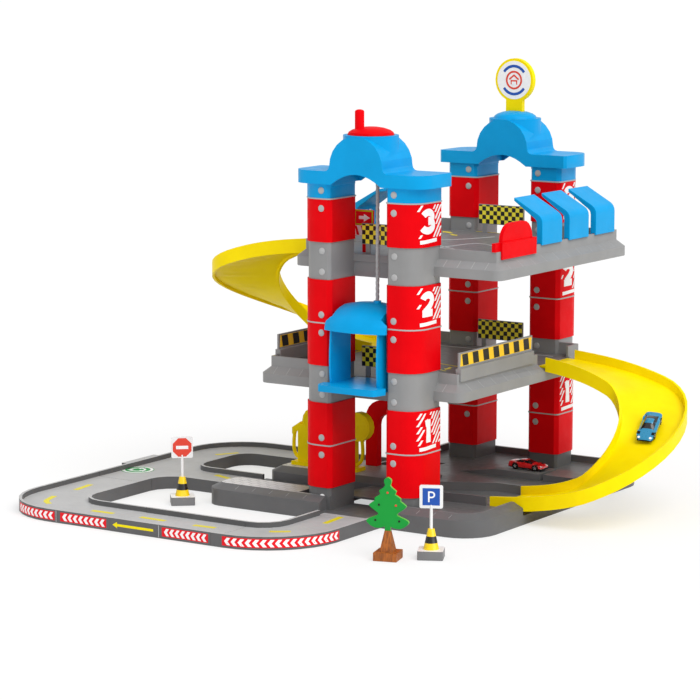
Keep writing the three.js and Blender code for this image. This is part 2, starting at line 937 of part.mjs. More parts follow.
// The part of the plan that the cabin may fill: narrow between the columns, wide in front of them.
function cabinPlan() {
  const shoulder = -columnY - blockDepth / 2 - blockOverhang - cabinShoulderGap;
  const wide = cabinRoofHalfWidth;
  const narrow = cabinHalfWidth;
  const front = cabinLipFrontY - overrun;
  return [
    [-wide, front],
    [wide, front],
    [wide, shoulder],
    [narrow, shoulder],
    [narrow, cabinBackY],
    [-narrow, cabinBackY],
    [-narrow, shoulder],
    [-wide, shoulder],
  ].map(([x, y]) => new THREE.Vector2(x, y));
}

function cabinRoof() {
  const keep = slab(cabinPlan(), cabinRoofBottom, cordBossTop + overrun);
  const boss = slab(circle(cordX, -columnY, cordBossRadius, roundSides / 2), cabinRoofBottom, cordBossTop);
  const skin = ellipsoidHood(0).intersect(keep);
  return skin.add(boss).subtract(ellipsoidHood(cabinRoofWall));
}

// A side wall whose front edge is drawn in by a shallow curve.
function cabinWallOutline() {
  const bottom = secondFloor - cabinTrayDepth;
  const top = cabinRoofBottom;
  const edge = Array.from({ length: cabinCurveSteps + 1 }, (_, i) => {
    const along = i / cabinCurveSteps;
    const y = cabinFrontY + cabinWallCurve * Math.sin(Math.PI * along);
    return new THREE.Vector2(y, THREE.MathUtils.lerp(top, bottom, along));
  });
  return [new THREE.Vector2(cabinWallBackY, bottom), new THREE.Vector2(cabinWallBackY, top), ...edge];
}

function cabinTray() {
  const bottom = secondFloor - cabinTrayDepth;
  const shoulder = -columnY - blockDepth / 2 - blockOverhang - cabinShoulderGap;
  const plan = rounded([
    [-cabinHalfWidth, cabinBackY],
    [-cabinHalfWidth, shoulder],
    [-cabinLipFlare, cabinLipFlareY],
    [-cabinLipHalfWidth, cabinLipFrontY, cabinLipCorner, 2],
    [cabinLipHalfWidth, cabinLipFrontY, cabinLipCorner, 2],
    [cabinLipFlare, cabinLipFlareY],
    [cabinHalfWidth, shoulder],
    [cabinHalfWidth, cabinBackY],
  ]);
  const under = secondFloor - cabinFloorThickness;
  const inner = cabinHalfWidth - cabinWall;
  const front = cabinFrontY;
  return slab(plan, bottom, secondFloor)
    .subtract(block(-inner, inner, front, cabinBackY - cabinWall, bottom - overrun, under));
}

function cabinRib(side) {
  const gap = columnX - blockWidth / 2 - blockOverhang - runningGap;
  const xs = side > 0 ? [cabinHalfWidth - fit, gap] : [-gap, fit - cabinHalfWidth];
  const half = cabinRibWidth / 2;
  const bottom = secondFloor - cabinTrayDepth;
  return block(xs[0], xs[1], cabinRibY - half, cabinRibY + half, bottom, cabinRoofBottom);
}

// The part of a side wall that closes the hood's end above it.
function cabinGable(from, to) {
  const top = cabinRoofBottom + cabinRoofRise;
  return block(from, to, cabinFrontY, cabinWallBackY, cabinRoofBottom - fit, top).intersect(ellipsoidHood(0));
}

function cabin() {
  const inner = cabinHalfWidth - cabinWall;
  const outline = cabinWallOutline();
  return cabinTray()
    .add(sideways(outline, -cabinHalfWidth, -inner))
    .add(sideways(outline, inner, cabinHalfWidth))
    .add(cabinRoof())
    .add(cabinGable(-cabinHalfWidth, -inner))
    .add(cabinGable(inner, cabinHalfWidth))
    .add(cabinRib(1))
    .add(cabinRib(-1));
}

function addLift() {
  add('crank_knob', crank(), red);
  add('winding_spool', spool(), white);
  add('lift_cord', cord(), gray);
  add('lift_cabin', cabin(), blue);
}

// Base tray

const rimRise = rimTop - baseWallTop;

function raised(points, bottom) {
  return shouldered(points, bottom, rimTop, rimChamferInset, rimRise);
}

function trayOutline(inset) {
  const steps = baseCornerSteps;
  return rounded([
    [baseLeft + inset, -baseHalfDepth + inset],
    [baseRight - inset, -baseHalfDepth + inset, baseCorner - inset, steps],
    [baseRight - inset, baseHalfDepth - inset, baseCorner - inset, steps],
    [baseLeft + inset, baseHalfDepth - inset, baseBackCorner - inset, steps / 2],
  ]);
}

function frontWalk() {
  const inset = rimChamferInset;
  const radius = walkCorner - inset;
  const steps = islandCornerSteps;
  return raised(rounded([
    [walkLeft + inset, -baseHalfDepth + inset, radius, steps],
    [laneFloorEnd, -baseHalfDepth + inset],
    [laneFloorEnd, walkBackY - walkBackLean],
    [walkLeft + inset, walkBackY - walkBackLean, radius, steps],
  ]), 0).intersect(block(walkLeft, laneFloorEnd, -baseHalfDepth, walkBackY, 0, rimTop));
}

function pumpIsland() {
  const inset = rimChamferInset;
  const radius = islandCorner - inset;
  return raised(rounded([
    [islandLeft + inset, islandFrontY + inset, radius, islandCornerSteps],
    [islandRight - inset, islandFrontY + inset],
    [islandRight - inset, islandBackY - inset],
    [islandLeft + inset, islandBackY - inset, radius, islandCornerSteps],
  ]), 0);
}

// A wall of constant width along a bent line in the plan.
function ridge(line, width, bottom, top) {
  const half = width / 2;
  const points = line.map(([x, y]) => new THREE.Vector2(x, y));
  const normals = points.map((p, i) => {
    const before = points[Math.max(i - 1, 0)];
    const after = points[Math.min(i + 1, points.length - 1)];
    const along = after.clone().sub(before).normalize();
    return new THREE.Vector2(-along.y, along.x);
  });
  const left = points.map((p, i) => p.clone().addScaledVector(normals[i], half));
  const right = points.map((p, i) => p.clone().addScaledVector(normals[i], -half));
  return slab([...right, ...left.reverse()], bottom, top);
}

function exitKerbs() {
  const [y0, y1] = landingRange();
  const bottom = groundFloor - deckWall;
  const start = rampEndX - kerbWidth;
  const far = [[start, y1 + kerbWidth / 2], [kerbBend, y1 + kerbWidth / 2], [kerbFarX, kerbFarY]];
  const near = [[start, y0 - kerbWidth / 2], [kerbBend, y0 - kerbWidth / 2], [kerbNearX, kerbNearY]];
  return ridge(far, kerbWidth, bottom, kerbTop).add(ridge(near, kerbWidth, bottom, kerbTop));
}

function parkingPlatform() {
  const low = groundFloor - deckWall;
  const wedge = [
    [parkingStart, low],
    [parkingEnd, low],
    [parkingEnd, rimTop],
    [parkingFlat, rimTop],
    [parkingStart, groundFloor],
  ].map(([x, z]) => new THREE.Vector2(x, z));
  const second = parkingEnd + parkingGap;
  return standing(wedge, parkingFrontY, parkingBackY)
    .add(block(second, parkingSecondEnd, parkingFrontY, parkingBackY, low, rimTop));
}

// The cut that brings a lane in from the left at road height and up to the ground floor.
function laneCut(front, back) {
  const high = kerbTop + overrun;
  const profile = [
    [walkLeft - overrun, roadTop],
    [laneFloorEnd, roadTop],
    [laneSlopeEnd, groundFloor],
    [laneSlopeEnd, groundFloor + fit],
    [laneFloorEnd, high],
    [walkLeft - overrun, high],
  ].map(([x, z]) => new THREE.Vector2(x, z));
  return standing(profile, front, back);
}

function baseLane() {
  return block(walkLeft, baseLeft + overrun, walkBackY - overrun, islandFrontY + overrun, 0, roadTop);
}

function pedestals() {
  return columnSides.map((sides) => {
    return slab(columnOutline(sides[0], sides[1], 0), roadTop - fit, pedestalTop)
      .add(spigot(sides, pedestalTop));
  });
}

// The hollow under the raised rim, left out where a lane or a landing crosses it.
function rimHollow() {
  const shell = baseShell;
  const top = baseWallTop - shell - fit;
  const halfBay = columnX - blockWidth / 2 + shell;
  const [landingStart, landingEnd] = landingRange();
  const low = -overrun - shell;
  const farLeft = walkLeft;
  const farRight = baseRight + overrun;
  return slab(trayOutline(shell), -overrun, top)
    .subtract(slab(trayOutline(rimChamferInset + rimFlat - shell), low, rimTop))
    .subtract(block(-halfBay, halfBay, -baseHalfDepth, 0, low, rimTop))
    .subtract(block(farLeft, 0, -baseHalfDepth, islandBackY + shell, low, rimTop))
    .subtract(block(farLeft, 0, backLaneFrontY - shell, backLaneBackY + shell, low, rimTop))
    .subtract(block(0, farRight, landingStart - shell, landingEnd + shell, low, rimTop));
}

// Hollows under the tray, so that its floors are one wall thick.
function baseHollows() {
  const low = roadTop - baseShell;
  const high = groundFloor - baseShell;
  const ledge = rimTop - baseShell - fit;
  const shell = baseShell;
  const edge = rimChamferInset;
  const back = walkBackY - edge / 2;
  const deepLeft = laneSlopeEnd + shell;
  const deepBack = parkingFrontY - shell;
  const front = walkBackY + edge;
  const pocket = rampEndX - edge;
  const laneBack = backLaneBackY + shell;
  return [
    rimHollow(),
    slab(trayOutline(shell), -overrun, low),
    block(deepLeft, pocket, front, deepBack, -overrun, high),
    block(deepLeft, pocket, parkingBackY, baseHalfDepth - edge * 2, -overrun, high),
    block(walkLeft + edge, baseLeft - shell, -baseHalfDepth + edge, back, -overrun, ledge),
    block(islandLeft + edge, baseLeft - shell, islandFrontY + edge, islandBackY - edge, -overrun, ledge),
    block(walkLeft + shell, baseLeft - shell, walkBackY + shell, islandFrontY - shell, -overrun, low),
    block(baseLeft + shell, deepLeft - shell, islandFrontY + edge, islandBackY - edge, -overrun, ledge),
    block(baseLeft + edge * 2, deepLeft - shell, laneBack, baseHalfDepth - edge * 2, -overrun, high),
  ];
}

// The room in front of the lift bay that the cabin's lip comes down into.
function lipRoom() {
  const half = cabinLipFlare + cabinLipRoom;
  const front = cabinLipFrontY - cabinLipRoom;
  return block(-half, half, front, -columnY - blockDepth / 2, roadTop, kerbTop);
}

function base() {
  const inner = rimChamferInset + rimFlat;
  const halfBay = columnX - blockWidth / 2;
  let body = raised(trayOutline(rimChamferInset), 0)
    .subtract(slab(trayOutline(inner), groundFloor, rimTop + overrun))
    .add(frontWalk())
    .add(baseLane())
    .subtract(laneCut(walkBackY, islandFrontY))
    .subtract(laneCut(backLaneFrontY, backLaneBackY))
    .add(pumpIsland())
    .add(exitKerbs())
    .add(parkingPlatform())
    .subtract(block(-halfBay, halfBay, -baseHalfDepth - overrun, cabinBackY + overrun, roadTop, kerbTop))
    .subtract(lipRoom())
    .subtract(landingCut(groundFloor));
  baseHollows().forEach((hollow) => {
    body = body.subtract(hollow);
  });
  const pad = restPad / 2;
  body = body.add(block(-pad, pad, -pad, pad, 0, groundFloor));
  pedestals().forEach((pedestal) => {
    body = body.add(pedestal);
  });
  columnSides.forEach((sides) => {
    body = body.subtract(columnBore(sides, groundFloor, pedestalTop + spigotHeight + overrun));
  });
  return body;
}

// Ring road

// The road's outline drawn in by inset at its walls, and by endInset where it meets the tray.
function wingOutline(inset, endInset) {
  const outer = wingFrontCorner - inset;
  const open = lowerOpenCorner + inset;
  const upper = upperOpenCorner + inset;
  const trayEnd = baseLeft - fit - endInset;
  const frontEnd = -baseHalfDepth - fit - endInset;
  const laneEnd = walkLeft - fit - endInset;
  return rounded([
    [wingRight - inset, frontEnd],
    [lowerOpenRight + inset, frontEnd],
    [lowerOpenRight + inset, lowerOpenFrontY - inset, open, islandCornerSteps],
    [lowerOpenLeft - inset, lowerOpenFrontY - inset, open, islandCornerSteps],
    [lowerOpenLeft - inset, lowerOpenBackY + inset, open, islandCornerSteps],
    [laneEnd, lowerOpenBackY + inset],
    [laneEnd, upperOpenFrontY - inset],
    [upperOpenLeft - inset, upperOpenFrontY - inset, upper, islandCornerSteps],
    [upperOpenLeft - inset, upperOpenBackY + inset, upper, islandCornerSteps],
    [trayEnd, upperOpenBackY + inset],
    [trayEnd, wingBackY - inset],
    [wingLeft + inset, wingBackY - inset, wingBackCorner - inset, wingCornerSteps],
    [wingLeft + inset, wingFrontY + inset, outer, wingCornerSteps],
    [wingRight - inset, wingFrontY + inset, outer, wingCornerSteps],
  ].reverse());
}

function wingRoad() {
  const tab = block(wingLeft - wingTab, wingLeft + wingTab, wingTabStartY, wingTabEndY, 0, roadTop);
  const bulgeStart = [wingLeft - wingTab, wingLeft + wingKerb];
  const bulge = block(bulgeStart[0], bulgeStart[1], wingBulgeStartY, wingBulgeEndY, 0, wingKerbTop);
  return slab(wingOutline(0, 0), 0, wingKerbTop)
    .subtract(slab(wingOutline(wingKerb, -overrun), roadTop, wingKerbTop + overrun))
    .subtract(slab(wingOutline(wingShell, wingShell), -overrun, roadTop - wingShell))
    .subtract(lipRoom())
    .add(tab)
    .add(bulge);
}

// A joint web under the road on both sides of a seam, so that each piece is closed at its end.
function seamWeb(x0, x1, y0, y1) {
  return block(x0, x1, y0, y1, 0, roadTop);
}

function addRoad() {
  const whole = wingRoad();
  const left = wingLeft - wingTab - overrun;
  const right = wingRight + overrun;
  const front = wingFrontY - overrun;
  const back = wingBackY + overrun;
  const high = wingKerbTop + overrun;
  const web = wingShell + fit;
  const armBack = lowerOpenFrontY;
  const cut = (x0, x1, y0, y1) => block(x0, x1, y0, y1, -overrun, high);
  const frontY = wingFrontY + wingShell;
  const webs = seamWeb(wingSeamRight - web, wingSeamRight + web, frontY, armBack)
    .add(seamWeb(wingSeamLeft - web, wingSeamLeft + web, frontY, armBack))
    .add(seamWeb(wingLeft + wingShell, lowerOpenLeft, wingSeamBackY - web, wingSeamBackY + web));
  const body = whole.add(webs);
  const gap = fit / 2;
  const rightPiece = body.intersect(cut(wingSeamRight + gap, right, front, back));
  const armEnd = armBack + overrun;
  const middlePiece = body.intersect(cut(wingSeamLeft + gap, wingSeamRight - gap, front, armEnd));
  const leftPiece = body.intersect(cut(left, wingSeamLeft - gap, front, wingSeamBackY - gap));
  const farSide = baseLeft + overrun;
  const backPiece = body.intersect(cut(left, farSide, wingSeamBackY + gap, back));
  add('road_front_right', rightPiece, paleGray);
  add('road_front_middle', middlePiece, paleGray);
  add('road_front_left', leftPiece, paleGray);
  add('road_back_left', backPiece, paleGray);
}

// Fittings that clip over a parapet

const parapetOuter = deckLongSide - shoulderInset;
const parapetTopAbove = deckSkirtHeight + shoulderRise + parapetHeight - deckSkirtDrop;

// A clip's section in X and Z over the parapet whose outer face lies at face.
function clipCut(face, inward, floor) {
  const top = floor + parapetTopAbove + fit;
  const edges = [face - inward * fit, face + inward * (parapetWall + fit)].sort((a, b) => a - b);
  return { edges, top, bottom: floor };
}

function saddle(face, inward, floor, y0, y1, height) {
  const slot = clipCut(face, inward, floor);
  const top = floor + parapetTopAbove;
  const bottom = top - clipDrop;
  return block(slot.edges[0] - clipLeg, slot.edges[1] + clipLeg, y0, y1, bottom, top + height)
    .subtract(block(slot.edges[0], slot.edges[1], y0 - overrun, y1 + overrun, bottom - overrun, slot.top));
}

function stripedPanel(face, inward, floor, y0, y1) {
  const middle = face + (inward * parapetWall) / 2;
  const half = panelThickness / 2;
  const top = floor + parapetTopAbove;
  const plateBottom = top + panelAbove;
  return saddle(face, inward, floor, y0, y1, panelAbove)
    .add(block(middle - half, middle + half, y0, y1, plateBottom, plateBottom + panelHeight));
}

// The side view of a canopy, growing from its clip up the post and over the lane.
function canopyOutline(face, inward, floor) {
  const foot = floor + parapetTopAbove - canopyDrop;
  const out = -clipLeg - fit;
  const back = parapetWall + fit + clipLeg;
  const post = foot + canopyPost;
  const tip = foot + canopyRise;
  const reach = back + canopyReach;
  const points = [
    [out, foot],
    [out, post, canopyBend + canopySkin, 4],
    [reach, tip],
    [reach, tip - canopySkin],
    [back, post - canopySkin, canopyBend, 3],
    [back, foot],
  ].map(([x, z, radius, steps]) => [face + inward * x, z, radius, steps]);
  const outline = rounded(points);
  return THREE.ShapeUtils.isClockWise(outline) ? outline.reverse() : outline;
}

function canopy(face, inward, floor, y0) {
  const y1 = y0 + canopyWidth;
  const slot = clipCut(face, inward, floor);
  const edges = slot.edges;
  return standing(canopyOutline(face, inward, floor), y0, y1)
    .subtract(block(edges[0], edges[1], y0 - overrun, y1 + overrun, slot.bottom, slot.top));
}

function booth(floor) {
  const middleY = (boothStartY + boothEndY) / 2;
  const half = boothPlateWidth / 2;
  const top = floor + parapetTopAbove;
  const boxTop = top - clipDrop + boothBox;
  const inside = parapetOuter - parapetWall - fit - clipLeg;
  const dome = rounded([
    [middleY - half, boxTop - clipDrop],
    [middleY + half, boxTop - clipDrop],
    [middleY + half, boxTop + boothPlateRise, boothPlateRise, 5],
    [middleY - half, boxTop + boothPlateRise, boothPlateRise, 5],
  ]);
  const tab = block(inside, inside + boothPlateThickness, boothStartY - boothTab, boothStartY, top, boxTop);
  return saddle(parapetOuter, -1, floor, boothStartY, boothEndY, boothBox - clipDrop)
    .add(sideways(dome, inside, inside + boothPlateThickness).subtract(
      block(inside - overrun, parapetOuter, boothStartY, boothEndY, floor, top + fit),
    ))
    .add(tab);
}

function addFittings() {
  const shortFace = deckShortSide - shoulderInset;
  const right = stripedPanel(shortFace, -1, secondFloor, rightPanelStartY, rightPanelEndY);
  const left = stripedPanel(-parapetOuter, 1, secondFloor, leftPanelStartY, leftPanelEndY);
  add('striped_panel_right', right, yellow);
  add('striped_panel_left', left, yellow);
  add('ticket_booth', booth(thirdFloor), red);
  for (let i = 0; i < 3; i += 1) {
    const start = canopyFirstY + i * canopyPitch;
    add(`canopy_${i + 1}`, canopy(parapetOuter, -1, thirdFloor, start), blue);
  }
  add('canopy_left', canopy(-shortFace, 1, thirdFloor, leftCanopyStartY), blue);
}

// Boards that stand on a floor

function checkerBoard(floor, y) {
  const half = boardWidth / 2;
  const bottom = floor + boardAbove;
  const back = y + boardThickness;
  const post = half - boardPostInset;
  return block(-half, half, y, back, bottom, bottom + boardHeight)
    .add(block(-post - boardPost, -post, y, back, floor, bottom + overrun))
    .add(block(post, post + boardPost, y, back, floor, bottom + overrun));
}

function arrowSign() {
  const half = arrowWidth / 2;
  const back = arrowY + arrowThickness;
  const post = arrowPost / 2;
  return block(arrowX - half, arrowX + half, arrowY, back, arrowPlateBottom, arrowPlateTop)
    .add(block(arrowX - post, arrowX + post, arrowY, back, thirdFloor, arrowPlateBottom + overrun));
}

function addBoards() {
  add('checker_board_front_2', checkerBoard(secondFloor, -boardY - boardThickness), yellow);
  add('checker_board_front_3', checkerBoard(thirdFloor, -boardY - boardThickness), yellow);
  add('checker_board_back_2', checkerBoard(secondFloor, boardY), yellow);
  add('checker_board_back_3', checkerBoard(thirdFloor, boardY), yellow);
  add('arrow_sign', arrowSign(), red);
}

// Filling station

function hose(x, side) {
  const y = pumpY;
  const high = rimTop + hoseHigh;
  const low = rimTop + hoseLow;
  const inner = pumpNeck / 2 - hoseRadius;
  const route = new THREE.CatmullRomCurve3([
    new THREE.Vector3(x + side * inner, y, low),
    new THREE.Vector3(x + (side * (inner + hoseReach)) / 2, y, low),
    new THREE.Vector3(x + side * hoseReach, y, (high + low * 3) / 4),
    new THREE.Vector3(x + side * hoseReach, y, high),
    new THREE.Vector3(x + side * (hoseReach - hoseRadius), y, high + hoseLow),
  ]);
  const shape = new THREE.Shape(circle(0, 0, hoseRadius, 8));
  return solid(new THREE.ExtrudeGeometry(shape, { steps: 10, extrudePath: route, bevelEnabled: false }));
}

// The nozzle hangs between the top of its hose and the pump.
function nozzle(x, side) {
  const high = rimTop + hoseHigh;
  const inner = pumpNeck / 2 - hoseRadius;
  const half = hoseRadius;
  const profile = [
    [inner, high + hoseLow],
    [hoseReach + hoseRadius, high],
    [hoseReach + hoseRadius, high + hoseLow],
    [inner, high + hoseLow * 2],
  ].map(([across, z]) => new THREE.Vector2(x + side * across, z));
  return standing(side > 0 ? profile : profile.reverse(), pumpY - half, pumpY + half);
}

function pump(x, side) {
  const front = pumpY - pumpThickness / 2;
  const back = pumpY + pumpThickness / 2;
  const foot = pumpFootWidth / 2;
  const depth = pumpFootDepth / 2;
  const neck = pumpNeck / 2;
  const headX = x + pumpHeadOffset;
  const headZ = rimTop + pumpHeadHeight;
  const footTop = rimTop + pumpFootHeight;
  return block(x - foot, x + foot, pumpY - depth, pumpY + depth, rimTop, footTop)
    .add(block(x - neck, x + neck, front, back, rimTop, rimTop + pumpNeckHeight))
    .add(standing(circle(headX, headZ, pumpHeadRadius, roundSides), front, back))
    .add(hose(x, side))
    .add(nozzle(x, side));
}

function gate() {
  const half = gateWidth / 2;
  const inner = half - gateLeg;
  const top = rimTop + gateHeight;
  const outline = rounded([
    [gateX - half, rimTop],
    [gateX + half, rimTop],
    [gateX + half, top, gateCorner, 5],
    [gateX - half, top, gateCorner, 5],
  ]);
  const innerTop = top - gateLeg;
  const innerCorner = gateCorner - gateLeg / 2;
  const opening = rounded([
    [gateX - inner, rimTop - overrun],
    [gateX + inner, rimTop - overrun],
    [gateX + inner, innerTop, innerCorner, 4],
    [gateX - inner, innerTop, innerCorner, 4],
  ]);
  const front = gateY - gateDepth;
  return standing(outline, front, gateY).subtract(standing(opening, front - overrun, gateY + overrun));
}

function addStation() {
  add('fuel_pump_left', pump(pumpFirstX, -1), yellow);
  add('fuel_pump_right', pump(pumpSecondX, 1), yellow);
  add('station_gate', gate(), red);
}

// Loose signs and tree

// Loose pieces are drawn round the origin, then turned and put down.
function putDown(body, x, y, degrees) {
  const turn = new THREE.Matrix4().makeRotationZ(THREE.MathUtils.degToRad(degrees));
  return surface(body).applyMatrix4(turn.setPosition(x, y, 0));
}

function tapered(bottomWidth, topWidth, bottom, top, sides) {
  const height = top - bottom;
  const cone = new THREE.CylinderGeometry(topWidth / 2, bottomWidth / 2, height, sides);
  const start = Math.PI / sides;
  return solid(cone.rotateY(start).rotateX(Math.PI / 2).translate(0, 0, bottom + height / 2));
}

function postSign() {
  const foot = postFoot / 2;
  const base = rectangle(-foot, foot, -foot, foot, postRadius, 2);
  const pole = slab(circle(0, 0, postRadius, 8), postConeHeight - overrun, plateBottom + overrun);
  const half = plateSize / 2;
  const plate = rectangle(-half, half, plateBottom, plateBottom + plateSize, postRadius, 2);
  return slab(base, 0, postFootHeight)
    .add(tapered(postConeBottom, postConeTop, postFootHeight - fit, postConeHeight, 12))
    .add(pole)
    .add(standing(plate, -plateThickness / 2, plateThickness / 2));
}

// Half of the tree's outline, as shares of its half width and of its height above the trunk.
const treeShares = [
  [0, 1], [0.12, 0.975], [0.17, 0.93], [0.14, 0.88], [0.13, 0.84], [0.25, 0.79], [0.4, 0.74],
  [0.34, 0.68], [0.6, 0.61], [0.59, 0.56], [0.85, 0.48], [0.76, 0.42], [0.43, 0.32], [0.56, 0.27],
  [0.86, 0.22], [0.98, 0.17], [0.88, 0.11], [0.6, 0.045], [0.3, 0.05], [0.13, 0.08],
];

function treeCrown() {
  const half = treeWidth / 2;
  const low = treeTrunkHeight;
  const rise = treeHeight - low;
  const marks = treeShares.map(([across, up]) => new THREE.Vector2(half * across, low + rise * up));
  const crown = new THREE.SplineCurve(marks).getPoints((marks.length - 1) * treeCurveSteps);
  const left = crown.slice(1).map((p) => new THREE.Vector2(-p.x, p.y));
  const stem = treeTrunkTop / 2;
  const foot = [[-stem, low - overrun], [stem, low - overrun]].map(([x, z]) => new THREE.Vector2(x, z));
  const outline = [...foot, ...crown.reverse(), ...left];
  return standing(outline, -treeThickness / 2, treeThickness / 2);
}

function tree() {
  const foot = treeFoot / 2;
  const root = Math.SQRT2;
  return slab(rectangle(-foot, foot, -foot, foot), 0, treeFootHeight)
    .add(tapered(treeTrunkBottom * root, treeTrunkTop * root, treeFootHeight - fit, treeTrunkHeight, 4))
    .add(treeCrown());
}

function addLoosePieces() {
  add('road_sign_left', putDown(postSign(), stopX, stopY, stopTurn), white);
  add('road_sign_right', putDown(postSign(), parkX, parkY, parkTurn), white);
  add('tree', putDown(tree(), treeX, treeY, treeTurn), green);
}

// Cars, drawn with the nose along +X and the wheels on z = 0

function carShell() {
  const half = carLength / 2;
  const side = [
    [-half, carSill],
    [half - carUnder, carSill - carUnder / 2],
    [half, carNose],
    [half / 2, carWaist],
    [half / 6, carHeight],
    [-half / 3, carHeight],
    [-half + carUnder, carWaist + carUnder],
    [-half, carWaist],
  ].map(([x, z]) => new THREE.Vector2(x, z));
  const halfWidth = carWidth / 2;
  const plan = rounded([
    [-half, -halfWidth, carSill, 2],
    [half, -halfWidth, carNose + carSill, 3],
    [half, halfWidth, carNose + carSill, 3],
    [-half, halfWidth, carSill, 2],
  ]);
  const wheelGap = wheelRadius + wheelClearance;
  const inner = halfWidth - wheelWidth - wheelClearance;
  const boreRadius = (axleRadius + axleBoreGap) / Math.cos(Math.PI / roundSides);
  let body = standing(side, -halfWidth, halfWidth).intersect(slab(plan, 0, carHeight + overrun));
  [-wheelbase / 2, wheelbase / 2].forEach((x) => {
    const arch = circle(x, wheelRadius, wheelGap, roundSides);
    body = body.subtract(standing(arch, inner, halfWidth + overrun));
    body = body.subtract(standing(arch, -halfWidth - overrun, -inner));
    const bore = circle(x, wheelRadius, boreRadius, roundSides);
    body = body.subtract(standing(bore, -halfWidth, halfWidth));
  });
  return body;
}

function axle(x) {
  const outside = carWidth / 2 - runningGap;
  const inside = outside - wheelWidth;
  const wheel = circle(x, wheelRadius, wheelRadius, roundSides);
  return standing(circle(x, wheelRadius, axleRadius, roundSides), -outside, outside)
    .add(standing(wheel, inside, outside))
    .add(standing(wheel, -outside, -inside));
}

function addCar(name, material, place) {
  const pieces = [
    ['body', carShell(), material],
    ['front_axle', axle(wheelbase / 2), black],
    ['rear_axle', axle(-wheelbase / 2), black],
  ];
  pieces.forEach(([label, body, finish]) => {
    const mesh = add(`${name}_${label}`, body, finish);
    mesh.matrixAutoUpdate = false;
    mesh.matrix.copy(place);
  });
}

// On the ramp the car heads downhill; its frame is the path's own.
function rampPlace(share) {
  const path = new RampPath();
  const forward = path.getTangent(share);
  const left = path.across(share).normalize();
  left.addScaledVector(forward, -left.dot(forward)).normalize();
  const up = forward.clone().cross(left);
  const place = new THREE.Matrix4().makeBasis(forward, left, up);
  const lift = up.clone().multiplyScalar(blueCarRide);
  const floor = path.getPoint(share).add(new THREE.Vector3(0, 0, -rampFloorBelow)).add(lift);
  return place.setPosition(floor);
}

function addCars() {
  const parked = new THREE.Matrix4().setPosition(redCarX, redCarY, rimTop + runningGap);
  addCar('red_car', red, parked);
  addCar('blue_car', carBlue, rampPlace(blueCarShare));
}

add('base_tray', base(), darkGray);
addRoad();
addColumns();
addDecks();
addRamps();
addArches();
addLift();
addFittings();
addBoards();
addStation();
addLoosePieces();
addCars();

export default garage;
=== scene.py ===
"""Looks of the toy parking garage with its lift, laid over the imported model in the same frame."""
import logging
import math
from dataclasses import dataclass
from enum import Enum
from typing import Callable

import bmesh
import bpy
import numpy as np
from mathutils import Euler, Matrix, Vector


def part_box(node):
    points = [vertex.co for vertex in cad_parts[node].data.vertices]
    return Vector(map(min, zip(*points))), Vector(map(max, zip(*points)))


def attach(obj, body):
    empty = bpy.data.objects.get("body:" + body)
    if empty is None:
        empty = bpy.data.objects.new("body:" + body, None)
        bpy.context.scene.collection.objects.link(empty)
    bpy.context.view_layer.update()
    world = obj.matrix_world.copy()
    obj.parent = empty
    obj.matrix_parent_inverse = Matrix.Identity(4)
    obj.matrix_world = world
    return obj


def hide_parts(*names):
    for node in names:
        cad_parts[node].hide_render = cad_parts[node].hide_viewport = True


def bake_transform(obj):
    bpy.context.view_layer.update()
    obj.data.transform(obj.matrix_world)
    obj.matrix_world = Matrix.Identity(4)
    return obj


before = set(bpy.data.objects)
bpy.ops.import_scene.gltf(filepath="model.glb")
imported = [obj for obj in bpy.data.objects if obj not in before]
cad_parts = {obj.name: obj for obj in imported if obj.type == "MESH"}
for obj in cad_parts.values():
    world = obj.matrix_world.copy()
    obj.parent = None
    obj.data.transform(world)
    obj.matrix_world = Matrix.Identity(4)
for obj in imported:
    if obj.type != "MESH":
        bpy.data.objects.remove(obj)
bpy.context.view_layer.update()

MM = 0.001
LOG = logging.getLogger("garage")

Place = Callable[[np.ndarray, np.ndarray, np.ndarray], np.ndarray]
Socket = bpy.types.NodeSocket
Colour = tuple[int, int, int]
Pair = tuple[float, float]
Triple = tuple[float, float, float]
Path = tuple[Pair, ...]
Box = tuple[float, float, float, float]

# Where a print begins and ends over the surface it lies on, in millimetres.
SHEET = (-0.1, 0.2)
MARK = (-0.1, 0.25)
FILM = (0.0, 0.2)
INK = (0.0, 0.3)
OVERPRINT = (0.0, 0.42)

# How much moulded plastic mirrors, as the shader takes it.
PLASTIC_SHINE = 0.2

# Where a CAD node's copy merges its points (metres), and up to which angle its faces count as
# flat and its edges stay unrounded.
MERGED = 2e-6
FLAT = math.radians(0.4)
UNROUNDED = math.radians(38)


# ---------------------------------------------------------------- finishes


def linear(red: int, green: int, blue: int) -> tuple[float, ...]:
    """Turns a colour written from 0 to 255 into the linear values that a shader takes.

    Args:
        red, green, blue: the colour as it should look.
    Returns:
        Linear red, green and blue, and full cover.
    """
    share = np.array([red, green, blue]) / 255.0
    value = np.where(share <= 0.04045, share / 12.92, ((share + 0.055) / 1.055) ** 2.4)
    return (*map(float, value), 1.0)


